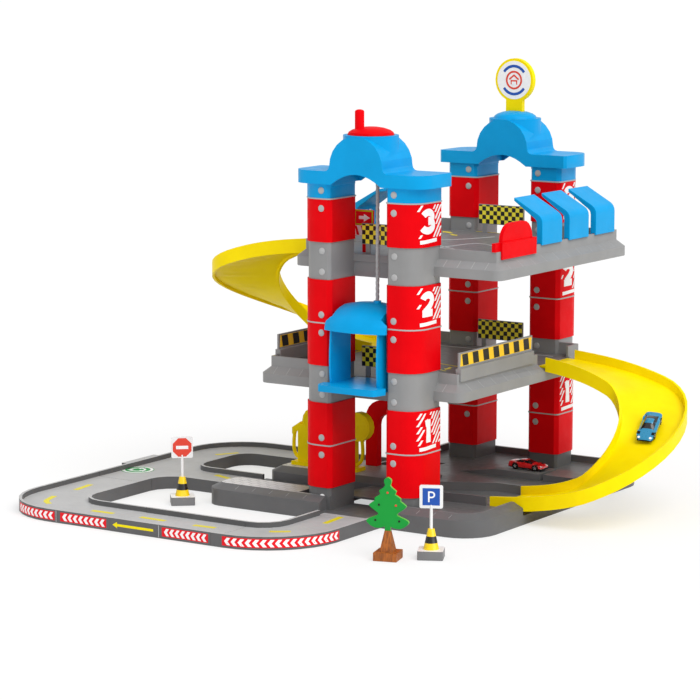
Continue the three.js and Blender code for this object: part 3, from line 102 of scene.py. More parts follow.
class Nodes:
    """A material's or a world's node tree, emptied and built anew."""

    def __init__(self, owner: bpy.types.Material | bpy.types.World) -> None:
        """Empties the owner's tree."""
        owner.use_nodes = True
        self.owner = owner
        self.tree = owner.node_tree
        self.tree.nodes.clear()

    def fill(self, node: bpy.types.Node, inputs: dict[str | int, object]) -> None:
        """Joins each input to a socket, or gives it a value.

        Args:
            node: the node.
            inputs: a socket or a value for each input, by name or number.
        """
        for key, value in inputs.items():
            if isinstance(value, Socket):
                self.tree.links.new(value, node.inputs[key])
            else:
                node.inputs[key].default_value = value

    def add(self, kind: str, inputs: dict[str | int, object] | None = None) -> bpy.types.Node:
        """Adds a node, whose kind is its type without the word ShaderNode, and fills its inputs."""
        node = self.tree.nodes.new("ShaderNode" + kind)
        self.fill(node, inputs or {})
        return node

    def maths(self, operation: str, *values: object) -> Socket:
        """One step of arithmetic on sockets or numbers."""
        node = self.add("Math")
        node.operation = operation
        self.fill(node, dict(enumerate(values)))
        return node.outputs[0]

    def shader_mix(self, amount: object, first: Socket, second: Socket, output: str) -> None:
        """Mixes two shaders and joins the mix to the tree's output.

        Args:
            amount: 0 gives the first, 1 the second.
            first, second: the shaders.
            output: the kind of output node.
        """
        mix = self.add("MixShader", {0: amount, 1: first, 2: second})
        self.add(output, {"Surface": mix.outputs["Shader"]})


class Shader(Nodes):
    """A finish's material while it is put together, read on Object coordinates."""

    INPUTS = {"normal": "Normal", "shine": "Specular IOR Level", "metallic": "Metallic",
              "coat": "Coat Weight", "coat_rough": "Coat Roughness"}

    def __init__(self, finish: "Finish") -> None:
        """Starts the finish's material with one principled surface."""
        super().__init__(bpy.data.materials.new(finish.name))
        self.finish = finish
        self.surface = self.add("BsdfPrincipled")
        self.add("OutputMaterial", {"Surface": self.surface.outputs["BSDF"]})
        self.where = self.add("TexCoord").outputs["Object"]

    def mapped(self, place: Triple, scale: Triple) -> Socket:
        """The object's coordinates, stretched by a scale and then moved by a place."""
        node = self.add("Mapping", {"Location": place, "Scale": scale, "Vector": self.where})
        return node.outputs["Vector"]

    def axis(self, name: str) -> Socket:
        """One of the object's coordinates: X, Y or Z."""
        return self.add("SeparateXYZ", {"Vector": self.where}).outputs[name]

    def noise(self, scale: float, detail: float = 2.0, where: Socket | None = None) -> Socket:
        """Soft noise from 0 to 1, by its cells in a metre and how many finer layers it has."""
        inputs = {"Scale": scale, "Detail": detail, "Vector": where or self.where}
        return self.add("TexNoise", inputs).outputs["Fac"]

    def ranged(self, value: Socket, low: float, high: float, start: float = 0.3,
               end: float = 0.7) -> Socket:
        """A value that is low up to its start and high from its end."""
        return self.add("MapRange", {"Value": value, "From Min": start, "From Max": end,
                                     "To Min": low, "To Max": high}).outputs["Result"]

    def mixed(self, amount: Socket, first: object, second: object) -> Socket:
        """Mixes two colours.

        Args:
            amount: 0 gives the first, 1 the second.
            first, second: each a colour or a socket.
        Returns:
            The mixed colour.
        """
        node = self.add("Mix")
        node.data_type = "RGBA"
        self.fill(node, {0: amount, 6: first, 7: second})
        return node.outputs[2]

    def tinted(self, amount: Socket) -> Socket:
        """The finish's colour, from a darker to a lighter neighbour of it."""
        base, swing = np.array(linear(*self.finish.colour)[:3]), self.finish.swing
        light = np.minimum(base * (1 + swing * 0.6) + swing * 0.01, 1.0)
        dark = base * (1 - swing)
        return self.mixed(amount, (*map(float, dark), 1.0), (*map(float, light), 1.0))

    def clouded(self, scale: float, detail: float = 2.0) -> Socket:
        """The finish's colour in clouds of a scale, as many as fit in a metre."""
        return self.tinted(self.ranged(self.noise(scale, detail), 0.0, 1.0))

    def roughened(self, value: Socket, less: float, more: float, start: float = 0.3,
                  end: float = 0.7) -> Socket:
        """The finish's roughness, less and more by these amounts as the value drifts."""
        rough = self.finish.rough
        return self.ranged(value, rough - less, rough + more, start, end)

    def bump(self, height: Socket, depth: float, strength: float) -> Socket:
        """The normal of a surface raised by a height, where 1 stands for a depth in metres."""
        inputs = {"Distance": depth, "Strength": strength, "Height": height}
        return self.add("Bump", inputs).outputs["Normal"]

    def skin(self, colour: Socket, rough: Socket, **others: object) -> bpy.types.Material:
        """Joins everything to the surface.

        Args:
            colour, rough: its colour and its roughness.
            others: further inputs, by their short names in INPUTS.
        Returns:
            The material.
        """
        named = {self.INPUTS[key]: value for key, value in others.items()}
        self.fill(self.surface, {"Base Color": colour, "Roughness": rough, **named})
        return self.owner


@dataclass(frozen=True)
class Finish:
    """What every finish has: a name, a colour, how rough it is and how far its colour drifts."""

    name: str
    colour: Colour
    rough: float = 0.36
    swing: float = 0.06

    def material(self) -> bpy.types.Material:
        """The finish's material, made the first time it is asked for."""
        return bpy.data.materials.get(self.name) or self.mix(Shader(self))

    def mix(self, shader: Shader) -> bpy.types.Material:
        """Makes the material; each kind of finish has its own."""
        raise NotImplementedError


@dataclass(frozen=True)
class MouldedPlastic(Finish):
    """Injection-moulded plastic: cloudy pigment, a spark-eroded grain and a slight sheen."""

    grain: float = 0.04
    coat: float = 0.0
    shine: float = PLASTIC_SHINE

    def mix(self, shader: Shader) -> bpy.types.Material:
        """Pigment clouds some 40 mm wide, a drifting roughness and grain of a millimetre."""
        return shader.skin(
            shader.clouded(26.0, 3.0), shader.roughened(shader.noise(90.0), 0.05, 0.07),
            normal=shader.bump(shader.noise(900.0, 1.0), 0.00004, self.grain),
            shine=self.shine, coat=self.coat, coat_rough=0.2)


@dataclass(frozen=True)
class PrintedSheet(Finish):
    """A printed sticker: even ink with a faint dot screen under a satin film."""

    swing: float = 0.036

    def mix(self, shader: Shader) -> bpy.types.Material:
        """Ink clouds 8 mm wide and a dot screen of half a millimetre."""
        return shader.skin(
            shader.clouded(130.0), shader.roughened(shader.noise(240.0), 0.04, 0.06),
            normal=shader.bump(shader.noise(2200.0, 0.0), 0.00002, 0.04), shine=PLASTIC_SHINE)


@dataclass(frozen=True)
class PavedPlastic(Finish):
    """Moulded plastic with small paving slabs drawn by fine joints."""

    slab: Pair = (0.017, 0.01054)
    joint: float = 0.0009
    joint_colour: Colour = (170, 170, 170)
    # The plain colour is painted shade: the paving darkened where it lies under the garage. The
    # next span, in metres along x, is where that painted shade comes in.
    plain: Colour = (112, 112, 113)
    shade_span: Pair = (-0.20, -0.06)

    def mix(self, shader: Shader) -> bpy.types.Material:
        """A brick pattern on x and y, slightly raised, that fades along x into a darker plain gray:
        painted shade under the garage.
        """
        brick = shader.add("TexBrick", {
            "Vector": shader.mapped((0.003, 0.001, 0), (1, 1, 0)), "Scale": 1.0,
            "Mortar Size": self.joint, "Mortar Smooth": 0.3,
            "Brick Width": self.slab[0], "Row Height": self.slab[1]})
        brick.offset = 0.5
        joints = brick.outputs["Fac"]
        clouds = shader.ranged(shader.noise(60.0, 3.0), 0.0, 1.0)
        slabs = shader.mixed(joints, shader.tinted(clouds), linear(*self.joint_colour))
        shade_cover = shader.ranged(shader.axis("X"), 0.0, 1.0, *self.shade_span)
        return shader.skin(
            shader.mixed(shade_cover, slabs, linear(*self.plain)),
            shader.roughened(clouds, 0.04, 0.08, 0.0, 1.0),
            normal=shader.bump(joints, 0.0004, 0.4), shine=PLASTIC_SHINE)


@dataclass(frozen=True)
class CheckerPrint(Finish):
    """A checkered sheet: squares of one size in two inks, on x and z."""

    other: Colour = (22, 22, 22)
    square: float = 0.006
    corner: Pair = (0.0, 0.0)

    def mix(self, shader: Shader) -> bpy.types.Material:
        """Squares counted from the sheet's corner, 40 on so that no coordinate is below zero."""
        count = 1.0 / self.square
        shift = (-self.corner[0] * count + 40.0, 0.5, -self.corner[1] * count + 40.0)
        checker = shader.add("TexChecker", {
            "Vector": shader.mapped(shift, (count, 0.0, count)), "Scale": 1.0,
            "Color1": shader.clouded(150.0), "Color2": linear(*self.other)})
        return shader.skin(checker.outputs["Color"],
                           shader.roughened(shader.noise(200.0), 0.04, 0.06))


@dataclass(frozen=True)
class BandedCone(Finish):
    """Yellow plastic with one black band, by height."""

    band: Pair = (0.0225, 0.0322)
    band_colour: Colour = (24, 24, 24)
    blur: float = 0.0001

    def mix(self, shader: Shader) -> bpy.types.Material:
        """Black where the height lies between the band's two edges."""
        low, high = self.band
        away = shader.maths("SUBTRACT", shader.axis("Z"), (low + high) / 2)
        half = (high - low) / 2
        cover = shader.ranged(shader.maths("ABSOLUTE", away), 1.0, 0.0,
                              half - self.blur, half + self.blur)
        return shader.skin(
            shader.mixed(cover, shader.clouded(90.0), linear(*self.band_colour)),
            shader.roughened(shader.noise(150.0), 0.04, 0.08))


@dataclass(frozen=True)
class GrainedBark(Finish):
    """Brown plastic with dark streaks that run up the trunk."""

    swing: float = 0.32

    def mix(self, shader: Shader) -> bpy.types.Material:
        """Noise squeezed along z, so that its cells stretch into streaks."""
        streaks = shader.noise(1.0, 3.0, shader.mapped((0, 0, 0), (420, 420, 60)))
        sharp = shader.ranged(streaks, 0.0, 1.0, 0.38, 0.6)
        return shader.skin(shader.tinted(sharp), shader.roughened(streaks, 0.05, 0.1),
                           normal=shader.bump(sharp, 0.0004, 0.5))


@dataclass(frozen=True)
class TwistedCord(Finish):
    """A thin gray lift cord: strands that wind round it."""

    swing: float = 0.22
    chart: str = "around"

    def mix(self, shader: Shader) -> bpy.types.Material:
        """Bands across the piece's own UV map, slanted so that they wind."""
        chart = shader.add("UVMap")
        chart.uv_map = self.chart
        slanted = shader.add("Mapping", {"Rotation": (0, 0, math.radians(32)),
                                         "Vector": chart.outputs["UV"]}).outputs["Vector"]
        wave = shader.add("TexWave", {"Scale": 1.6, "Vector": slanted}).outputs["Fac"]
        return shader.skin(shader.tinted(wave), shader.ranged(wave, 0.5, 0.75, 0.0, 1.0),
                           normal=shader.bump(wave, 0.0004, 0.6))


@dataclass(frozen=True)
class CarPaint(Finish):
    """Car paint: fine metal flakes under a clear coat."""

    swing: float = 0.14

    def mix(self, shader: Shader) -> bpy.types.Material:
        """Flakes from very fine noise, a slow drift of roughness, and a glossy coat."""
        return shader.skin(
            shader.clouded(5200.0, 0.0), shader.roughened(shader.noise(300.0), 0.05, 0.05),
            metallic=0.15, coat=0.8, coat_rough=0.06)


RED = MouldedPlastic("red_moulding", (230, 0, 12), rough=0.45, shine=0.05)
BLUE = MouldedPlastic("blue_moulding", (0, 158, 221), rough=0.34, grain=0.02, shine=0.12)
YELLOW = MouldedPlastic("yellow_moulding", (255, 226, 0), rough=0.4, shine=0.08)
GRAY = MouldedPlastic("gray_moulding", (144, 144, 144))
SCREW = MouldedPlastic("screw_moulding", (176, 176, 176), rough=0.3)
DARK_GRAY = MouldedPlastic("dark_gray_moulding", (100, 100, 101), shine=0.3)
SIGN_FOOT = MouldedPlastic("sign_foot_moulding", (124, 124, 125))
DECK_FLOOR = MouldedPlastic("deck_floor_moulding", (116, 116, 116), rough=0.42)
# The whole road is one gray plastic: its top is painted lighter as if lit from above (painted
# light), and its walls darker (painted shade).
PAINTED_LIGHT_ROAD_TOP = MouldedPlastic("road_top_painted_light", (184, 184, 184), rough=0.45)
PAINTED_SHADE_ROAD_WALL = MouldedPlastic("road_wall_painted_shade", (98, 98, 99))
PALE = MouldedPlastic("pale_line_moulding", (196, 196, 196))
TICK = MouldedPlastic("tick_line_moulding", (148, 148, 148))
SHOULDER_TICK = MouldedPlastic("shoulder_tick_moulding", (172, 172, 172))
WHITE = MouldedPlastic("white_moulding", (236, 236, 236))
GREEN = MouldedPlastic("green_moulding", (18, 152, 56))
LIME = MouldedPlastic("lime_edge_moulding", (104, 190, 72))
BLACK = MouldedPlastic("black_moulding", (20, 20, 21), rough=0.5)
GLASS = MouldedPlastic("dark_glass", (14, 15, 18), rough=0.12, grain=0.0, coat=0.6, shine=0.5)
PAVING = PavedPlastic("paved_moulding", (224, 224, 224))
BARK = GrainedBark("bark_moulding", (160, 86, 16), rough=0.5)
CONE = BandedCone("banded_cone", (255, 214, 6))
CORD = TwistedCord("twisted_cord", (176, 176, 176))
RED_PAINT = CarPaint("red_car_paint_coat", (220, 22, 26), rough=0.3)
BLUE_PAINT = CarPaint("blue_car_paint_coat", (6, 136, 180), rough=0.3)
PRINT_RED = PrintedSheet("red_print", (228, 12, 30))
PRINT_WHITE = PrintedSheet("white_print", (246, 246, 246))
PRINT_YELLOW = PrintedSheet("yellow_print", (246, 226, 0))
PRINT_AMBER = PrintedSheet("amber_print", (255, 206, 40))
PRINT_BLACK = PrintedSheet("black_print", (30, 30, 30))
PRINT_GREEN = PrintedSheet("green_print", (6, 150, 68))
PRINT_LIME = PrintedSheet("lime_print", (186, 212, 40))
PRINT_BLUE = PrintedSheet("blue_print", (36, 84, 172))
PRINT_SKY = PrintedSheet("sky_print", (52, 130, 196))
PRINT_CORAL = PrintedSheet("coral_print", (226, 74, 58))
PRINT_DASH = PrintedSheet("dash_print", (228, 214, 20))


class Slot(Enum):
    """The record's material slots."""

    DARK = "dark_gray_plastic"
    GRAY = "gray_plastic"
    PALE = "pale_gray_plastic"
    RED = "red_plastic"
    BLUE = "blue_plastic"
    YELLOW = "yellow_plastic"
    WHITE = "white_plastic"
    GREEN = "green_plastic"
    BLACK = "black_plastic"
    CORD = "cord_fabric"
    RED_PAINT = "red_car_paint"
    BLUE_PAINT = "blue_car_paint"


# ------------------------------------------------------------------ shapes


@dataclass
class Shape:
    """Points in millimetres and the faces that join them, with a finish number for each face."""

    points: np.ndarray
    faces: list[list[int]]
    kinds: np.ndarray | None = None

    def painted(self, kind: int) -> "Shape":
        """The same shape with every face in one finish."""
        self.kinds = np.full(len(self.faces), kind)
        return self


def joined(shapes: list[Shape]) -> Shape:
    """Puts shapes together as one, by shifting each one's point numbers past those before.

    Args:
        shapes: the shapes, each with or without finish numbers.
    Returns:
        One shape.
    """
    offsets = np.cumsum([0] + [len(s.points) for s in shapes[:-1]])
    faces = [[i + int(o) for i in f] for s, o in zip(shapes, offsets) for f in s.faces]
    kinds = [np.zeros(len(s.faces), int) if s.kinds is None else s.kinds for s in shapes]
    return Shape(np.concatenate([s.points for s in shapes]), faces, np.concatenate(kinds))


def grid_faces(rows: int, columns: int, wrap: bool = False) -> list[list[int]]:
    """The four-sided faces of closed rings of points, kept ring after ring.

    Args:
        rows, columns: how many rings, and how many points in each.
        wrap: True if the last ring joins the first.
    Returns:
        Four point numbers for each face.
    """
    row, column = np.meshgrid(np.arange(rows if wrap else rows - 1), np.arange(columns),
                              indexing="ij")
    here, above, after = row * columns, (row + 1) % rows * columns, (column + 1) % columns
    corners = [here + column, here + after, above + after, above + column]
    return np.stack(corners, axis=-1).reshape(-1, 4).tolist()


def lofted(rings: np.ndarray) -> Shape:
    """A closed body through rings of points: joined side by side, the first and last one closed.

    Args:
        rings: rings x points x 3; seen from the far end each ring runs counter-clockwise.
    Returns:
        The body.
    """
    rows, columns = rings.shape[:2]
    ends = [list(range(columns))[::-1], list(range((rows - 1) * columns, rows * columns))]
    return Shape(rings.reshape(-1, 3), grid_faces(rows, columns) + ends)


def turned(place: Place, profile: list[Pair], steps: int = 24) -> Shape:
    """Turns a profile round the place's outward axis: x = r cos a, y = r sin a, height kept.

    Args:
        place: where the axis stands.
        profile: radius and height, from the bottom up.
        steps: points round.
    Returns:
        A closed body.
    """
    angle = np.linspace(0, 2 * np.pi, steps, endpoint=False)
    radius, height = (np.array(v)[:, None] for v in zip(*profile))
    return lofted(place(radius * np.cos(angle), radius * np.sin(angle), height))


def plate(place: Place, outline: np.ndarray, low: float, high: float) -> Shape:
    """A closed plate: an outline, counter-clockwise from outside, at two heights over a place."""
    u, v = np.asarray(outline, float).T[:, None, :]
    return lofted(place(u, v, np.array([[low], [high]])))


def strip(place: Place, left: np.ndarray, right: np.ndarray, low: float, high: float,
          across: int = 1) -> Shape:
    """A thin strip that follows a curved surface, between a left and a right edge.

    Its points lie on straight lines from edge to edge, at two heights, and each cross-section
    is one ring of a loft.

    Args:
        place: maps along, up and out to the surface.
        left, right: the two edges, as many points each; the left lies to the left of their way.
        low, high: heights above the surface.
        across: how many steps from edge to edge.
    Returns:
        A closed strip.
    """
    share = np.linspace(0, 1, across + 1)
    both = np.concatenate([share, share[::-1]])[None, :, None]
    height = np.repeat([low, high], across + 1)
    flat = left[:, None, :] * (1 - both) + right[:, None, :] * both
    return lofted(place(flat[..., 0], flat[..., 1], height))


def stroke(place: Place, path: np.ndarray, width: float, low: float, high: float,
           across: int = 3) -> Shape:
    """A pen stroke: the path moved half the width to each side along its own normal.

    Args:
        place: maps along, up and out to the surface.
        path: the middle line.
        width: the stroke's width.
        low, high: heights above the surface.
        across: steps from edge to edge.
    Returns:
        A closed strip.
    """
    run = np.gradient(path, axis=0)
    run /= np.linalg.norm(run, axis=1, keepdims=True)
    side = np.stack([-run[:, 1], run[:, 0]], axis=1) * width / 2
    return strip(place, path + side, path - side, low, high, across)


def smooth_path(points: Path, count: int) -> np.ndarray:
    """A soft curve through points, by cubic weights between each two of them.

    Args:
        points: what it passes through.
        count: how many points it has.
    Returns:
        The curve's points.
    """
    p = np.array(points, float)
    p = np.concatenate([2 * p[:1] - p[1:2], p, 2 * p[-1:] - p[-2:-1]])
    t = np.linspace(0, len(p) - 3 - 1e-9, count)
    i, f = t.astype(int), (t % 1)[:, None]
    a, b, c, d = p[i], p[i + 1], p[i + 2], p[i + 3]
    bend, pull = 2 * a - 5 * b + 4 * c - d, 3 * b - a - 3 * c + d
    return 0.5 * (2 * b + (c - a) * f + bend * f**2 + pull * f**3)


def arc(centre: Pair, radii: Pair, start: float, end: float, count: int) -> np.ndarray:
    """Points on an ellipse, by its middle and half sizes, between two angles in degrees."""
    angle = np.radians(np.linspace(start, end, count))
    return np.stack([centre[0] + radii[0] * np.cos(angle), centre[1] + radii[1] * np.sin(angle)],
                    axis=1)


def ring(radius: float, start: float, end: float, count: int) -> np.ndarray:
    """Points on a circle round zero, between two angles in degrees."""
    return arc((0, 0), (radius, radius), start, end, count)


def straight(start: Pair, end: Pair, count: int) -> np.ndarray:
    """Evenly spaced points from start to end."""
    return np.linspace(start, end, count)


def rectangle(left: float, low: float, right: float, high: float) -> np.ndarray:
    """A rectangle's corners, counter-clockwise."""
    return np.array([(left, low), (right, low), (right, high), (left, high)], float)


def arrow_outline(length: float, shaft: float, head: float) -> np.ndarray:
    """An arrow that points along +x, its middle at zero.

    Args:
        length: from tail to tip.
        shaft, head: the shaft's width, and the head's width and length.
    Returns:
        Its corners, counter-clockwise.
    """
    half, neck = length / 2, length / 2 - head * 0.9
    return np.array([(-half, -shaft / 2), (neck, -shaft / 2), (neck, -head / 2), (half, 0),
                     (neck, head / 2), (neck, shaft / 2), (-half, shaft / 2)])


def rotated(outline: np.ndarray, degrees: float, x: float = 0.0, y: float = 0.0) -> np.ndarray:
    """An outline turned about zero by some degrees, and then moved by x and y."""
    c, s = math.cos(math.radians(degrees)), math.sin(math.radians(degrees))
    return outline @ np.array([[c, s], [-s, c]]) + np.array([x, y])


def path_lengths(path: np.ndarray) -> np.ndarray:
    """How far along a path each of its points lies."""
    return np.concatenate([[0], np.cumsum(np.linalg.norm(np.diff(path, axis=0), axis=1))])


@dataclass(frozen=True)
class FlatSpot:
    """A flat place on the toy: a corner, the way along, the way up, and outwards."""

    origin: Triple
    along: Triple
    up: Triple

    def __call__(self, u: np.ndarray, v: np.ndarray, w: np.ndarray) -> np.ndarray:
        """Point = origin + u along + v up + w outwards, outwards being along x up."""
        a, b = (np.array(k, float) / np.linalg.norm(k) for k in (self.along, self.up))
        u, v, w = (np.asarray(k, float)[..., None] for k in (u, v, w))
        return np.array(self.origin, float) + u * a + v * b + w * np.cross(a, b)


@dataclass(frozen=True)
class UprightWall:
    """An upright wall over a plan path; u runs along it, v up, w outwards, to its right."""

    path: np.ndarray
    base: float = 0.0
    start: float = 0.0

    def __call__(self, u: np.ndarray, v: np.ndarray, w: np.ndarray) -> np.ndarray:
        """Reads the path's place and normal by its length, and steps outwards."""
        where = path_lengths(self.path)
        tangent = np.diff(self.path, axis=0) / np.diff(where)[:, None]
        corner = np.concatenate([tangent[:1], tangent[:-1] + tangent[1:], tangent[-1:]])
        corner /= np.linalg.norm(corner, axis=1, keepdims=True)
        u, v, w = np.broadcast_arrays(u, v, w)
        s = u + self.start
        past = np.minimum(s, 0) + np.maximum(s - where[-1], 0)
        x, y = (np.interp(s, where, self.path[:, k]) for k in (0, 1))
        tx, ty = (np.interp(s, where, corner[:, k]) for k in (0, 1))
        size = np.hypot(tx, ty)
        tx, ty = tx / size, ty / size
        return np.stack([x + past * tx + w * ty, y + past * ty - w * tx, self.base + v], axis=-1)


def level(height: float, x: float = 0.0, y: float = 0.0) -> FlatSpot:
    """The horizontal plane at a height, seen from above, with its zero at x and y."""
    return FlatSpot((x, y, height), (1, 0, 0), (0, 1, 0))


def facing(x: float, y: float, z: float, turn: int = 1) -> FlatSpot:
    """An upright place that faces -Y, or +Y where turn is -1."""
    return FlatSpot((x, y, z), (turn, 0, 0), (0, 0, 1))


def placed(name: str, mesh: bpy.types.Mesh, body: str | None, crease: float,
           bevel: float) -> bpy.types.Object:
    """Shades a mesh smooth between its creases and puts it into the scene on a body.

    Args:
        name: the piece's name.
        mesh: its mesh, with its finishes.
        body: the CAD body that carries it, or None for a piece that rides on no body.
        crease: edges sharper than this, in degrees, stay sharp.
        bevel: how far its edges are rounded, in millimetres.
    Returns:
        The new object.
    """
    mesh.polygons.foreach_set("use_smooth", np.ones(len(mesh.polygons), bool))
    mesh.set_sharp_from_angle(angle=math.radians(crease))
    mesh.update()
    piece = bpy.data.objects.new(name, mesh)
    bpy.context.collection.objects.link(piece)
    if bevel:
        edge = piece.modifiers.new("soft_edges", "BEVEL")
        edge.width, edge.segments = bevel * MM, 2
        edge.limit_method, edge.angle_limit = "ANGLE", UNROUNDED
        edge.harden_normals = edge.use_clamp_overlap = True
    if body:
        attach(piece, body)
    LOG.info("%s: %d faces on %s", name, len(mesh.polygons), body or "two bodies")
    return piece


def finished(name: str, shapes: list[Shape], finishes: list[Finish],
             body: str | None = "garage", crease: float = 35.0) -> bpy.types.Object:
    """Puts shapes into the scene as one finished piece that rides on a body.

    Args:
        name: the piece's name.
        shapes: its parts, in millimetres.
        finishes: its finishes; the shapes' numbers choose among them.
        body, crease: as placed() takes them.
    Returns:
        The new object.
    """
    shape = joined(shapes)
    mesh = bpy.data.meshes.new(name)
    mesh.from_pydata((shape.points * MM).tolist(), [], shape.faces)
    for finish in finishes:
        mesh.materials.append(finish.material())
    mesh.polygons.foreach_set("material_index", shape.kinds.astype(np.int32))
    mesh.validate()
    return placed(name, mesh, body, crease, 0.0)


Rule = tuple[Finish, Callable[[np.ndarray, np.ndarray], np.ndarray]]


def dressed(node: str, finish: Finish, body: str = "garage", bevel: float = 0.7,
            rules: tuple[Rule, ...] = (), crease: float = 32.0) -> None:
    """Stands in for a CAD node with a merged, edge-rounded and finished copy of it.

    Its loose triangles are merged, flat neighbours are joined, and each rule gives its finish
    to the faces it picks.

    Args:
        node: the CAD node.
        finish: its main finish.
        body, bevel, crease: as placed() takes them.
        rules: a finish and a test of face centres (mm) and normals, the later ones winning.
    """
    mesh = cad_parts[node].data.copy()
    work = bmesh.new()
    work.from_mesh(mesh)
    bmesh.ops.remove_doubles(work, verts=work.verts, dist=MERGED)
    bmesh.ops.dissolve_limit(work, angle_limit=FLAT, verts=work.verts, edges=work.edges)
    work.to_mesh(mesh)
    work.free()
    mesh.materials.clear()
    for each in (finish, *(rule[0] for rule in rules)):
        mesh.materials.append(each.material())
    count = len(mesh.polygons)
    centre, normal = np.zeros(count * 3), np.zeros(count * 3)
    mesh.polygons.foreach_get("center", centre)
    mesh.polygons.foreach_get("normal", normal)
    kinds = np.zeros(count, np.int32)
    for number, (_, test) in enumerate(rules, 1):
        kinds[test(centre.reshape(-1, 3) / MM, normal.reshape(-1, 3))] = number
    mesh.polygons.foreach_set("material_index", kinds)
    piece = placed(node + "_moulded", mesh, body, crease, bevel)
    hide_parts(node)


def node_points(node: str) -> np.ndarray:
    """The points of a CAD node in millimetres, one line of x, y and z for each."""
    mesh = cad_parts[node].data
    points = np.zeros(len(mesh.vertices) * 3)
    mesh.vertices.foreach_get("co", points)
    return points.reshape(-1, 3) / MM


# ------------------------------------------------------------ sub-assemblies


@dataclass
class Columns:
    """The four red columns: blocks, the pale seams between them, screws and level labels."""

    centre: Pair = (76.5, 214.5)
    block: Pair = (56.0, 75.0)
    corner: float = 30.0
    edge: float = 6.0
    overhang: float = 2.0
    seams: tuple[float, ...] = (111.5, 299.5, 487.5)
    seam_section: Path = ((-0.4, -1.1), (0.35, -1.0), (0.5, 0.0), (0.35, 1.0), (-0.4, 1.1))
    seam_steps: int = 120
    screw_radius: float = 5.2
    screw_rise: float = 1.6
    screw_dome: Path = (
        (1.0, 0.0), (1.0, 0.3), (0.94, 0.52), (0.78, 0.76), (0.5, 0.93), (0.16, 1.0))
    screw_x: float = 64.5
    block_screws: tuple[float, ...] = (97.0, 123.5, 284.5, 312.0, 473.0, 500.0)
    collar_screws: tuple[float, ...] = (189.5, 221.0, 377.0, 408.5)
    foot_screw: float = 31.0
    label_width: float = 61.0
    label_height: float = 59.0
    labels: tuple[tuple[int, float], ...] = ((1, 115.0), (2, 303.0), (3, 426.0))
    pen: float = 10.8
    pen_lift: float = 0.04
    numeral_x: float = 24.0
    numeral_z: Pair = (20.6, 48.0)
    underline: Path = ((7.0, 4.0), (48.0, 5.6))
    underline_width: float = 5.4
    hatch_low: float = 10.0
    hatch_margin: float = 1.5
    hatch_bar: float = 4.0
    hatch_pitch: float = 8.4
    hatch_slope: float = 0.78
    hatch_first: float = -38.0
    hatch_room: float = 1.0
    shortest_bar: int = 5

    def build(self) -> None:
        """Builds every piece of the columns."""
        for side_y, end in ((-1, "front"), (1, "back")):
            for side_x, side in ((-1, "left"), (1, "right")):
                for n in range(1, 6):
                    dressed(f"column_block_{end}_{side}_{n}", RED, bevel=1.1)
                self.seam_bands(side_x, side_y, f"{end}_{side}")
        self.screws()
        for number, low in self.labels:
            self.label(number, low, -1)
            self.label(number, low, 1)

    def outline(self, side_x: int, side_y: int) -> np.ndarray:
        """A column's closed plan outline: a rectangle whose outer corner has a large radius.

        Args:
            side_x, side_y: which column, -1 or 1 each way.
        Returns:
            The outline's points, counter-clockwise, starting on the -Y side.
        """
        half = np.array(self.block) / 2
        middle = np.array([side_x, side_y]) * self.centre
        turns = []
        for k, (sx, sy) in enumerate(((1, -1), (1, 1), (-1, 1), (-1, -1))):
            radius = self.corner if (sx, sy) == (side_x, side_y) else self.edge
            hub = middle + np.array([sx, sy]) * (half - radius)
            turns.append(arc(tuple(hub), (radius, radius), -90 + 90 * k, 90 * k, 13))
        loop = np.concatenate(turns)
        return np.concatenate([loop, loop[:1]])

    def seam_bands(self, side_x: int, side_y: int, name: str) -> None:
        """A pale band 2 mm high round each seam, as a thin ring over the outline.

        Args:
            side_x, side_y: which column.
            name: the column's name.
        """
        outline = self.outline(side_x, side_y)
        along = np.linspace(0, path_lengths(outline)[-1], self.seam_steps + 1)[:-1, None]
        out, rise = np.array(self.seam_section).T
        faces = grid_faces(self.seam_steps, len(self.seam_section), wrap=True)
        rings = [UprightWall(outline)(along, z + rise, out) for z in self.seams]
        finished(f"seam_bands_{name}", [Shape(points.reshape(-1, 3), faces) for points in rings],
                 [SCREW])

    def screws(self) -> None:
        """Domed screw heads on the -Y faces: a low dome with a rounded rim."""
        profile = [(self.screw_radius * r, self.screw_rise * h) for r, h in self.screw_dome]
        for side_y, end in ((-1, "front"), (1, "back")):
            face = side_y * self.centre[1] - self.block[1] / 2
            rows = ((face, self.block_screws), (face + self.overhang, self.collar_screws))
            heads = [turned(facing(side * self.screw_x, y, z), profile, 20)
                     for side in (-1, 1) for y, heights in rows for z in heights]
            finished(f"screws_{end}", heads, [SCREW], crease=50)
        low = -self.centre[1] - self.block[1] / 2 + self.overhang
        foot = turned(facing(-self.screw_x, low, self.foot_screw), profile, 20)
        finished("foot_screw_front_left", [foot], [WHITE], crease=50)

    def label(self, number: int, low: float, side_y: int) -> None:
        """One level label, wrapped round the column's corner: bars, a bold number and a line.

        Args:
            number: the level's number.
            low: the label's lower edge.
            side_y: -1 for the front column, 1 for the back one.
        """
        outline = self.outline(1, side_y)
        where = path_lengths(outline)
        flat = where[np.abs(outline[:, 0] - outline[:, 0].max()) < 1e-6]
        start = flat[-1] - self.label_width if side_y < 0 else flat[0]
        wall = UprightWall(outline, low, float(start))
        lines = self.numeral(number)
        shapes = self.hatch(wall, np.concatenate(lines))
        bottom, top = INK
        shapes += [stroke(wall, line, self.pen, bottom, top + self.pen_lift * k)
                   for k, line in enumerate(lines)]
        shapes.append(stroke(wall, straight(*self.underline, 24), self.underline_width, *INK))
        end = "front" if side_y < 0 else "back"
        finished(f"level_label_{end}_{number}", shapes, [PRINT_WHITE], crease=60)

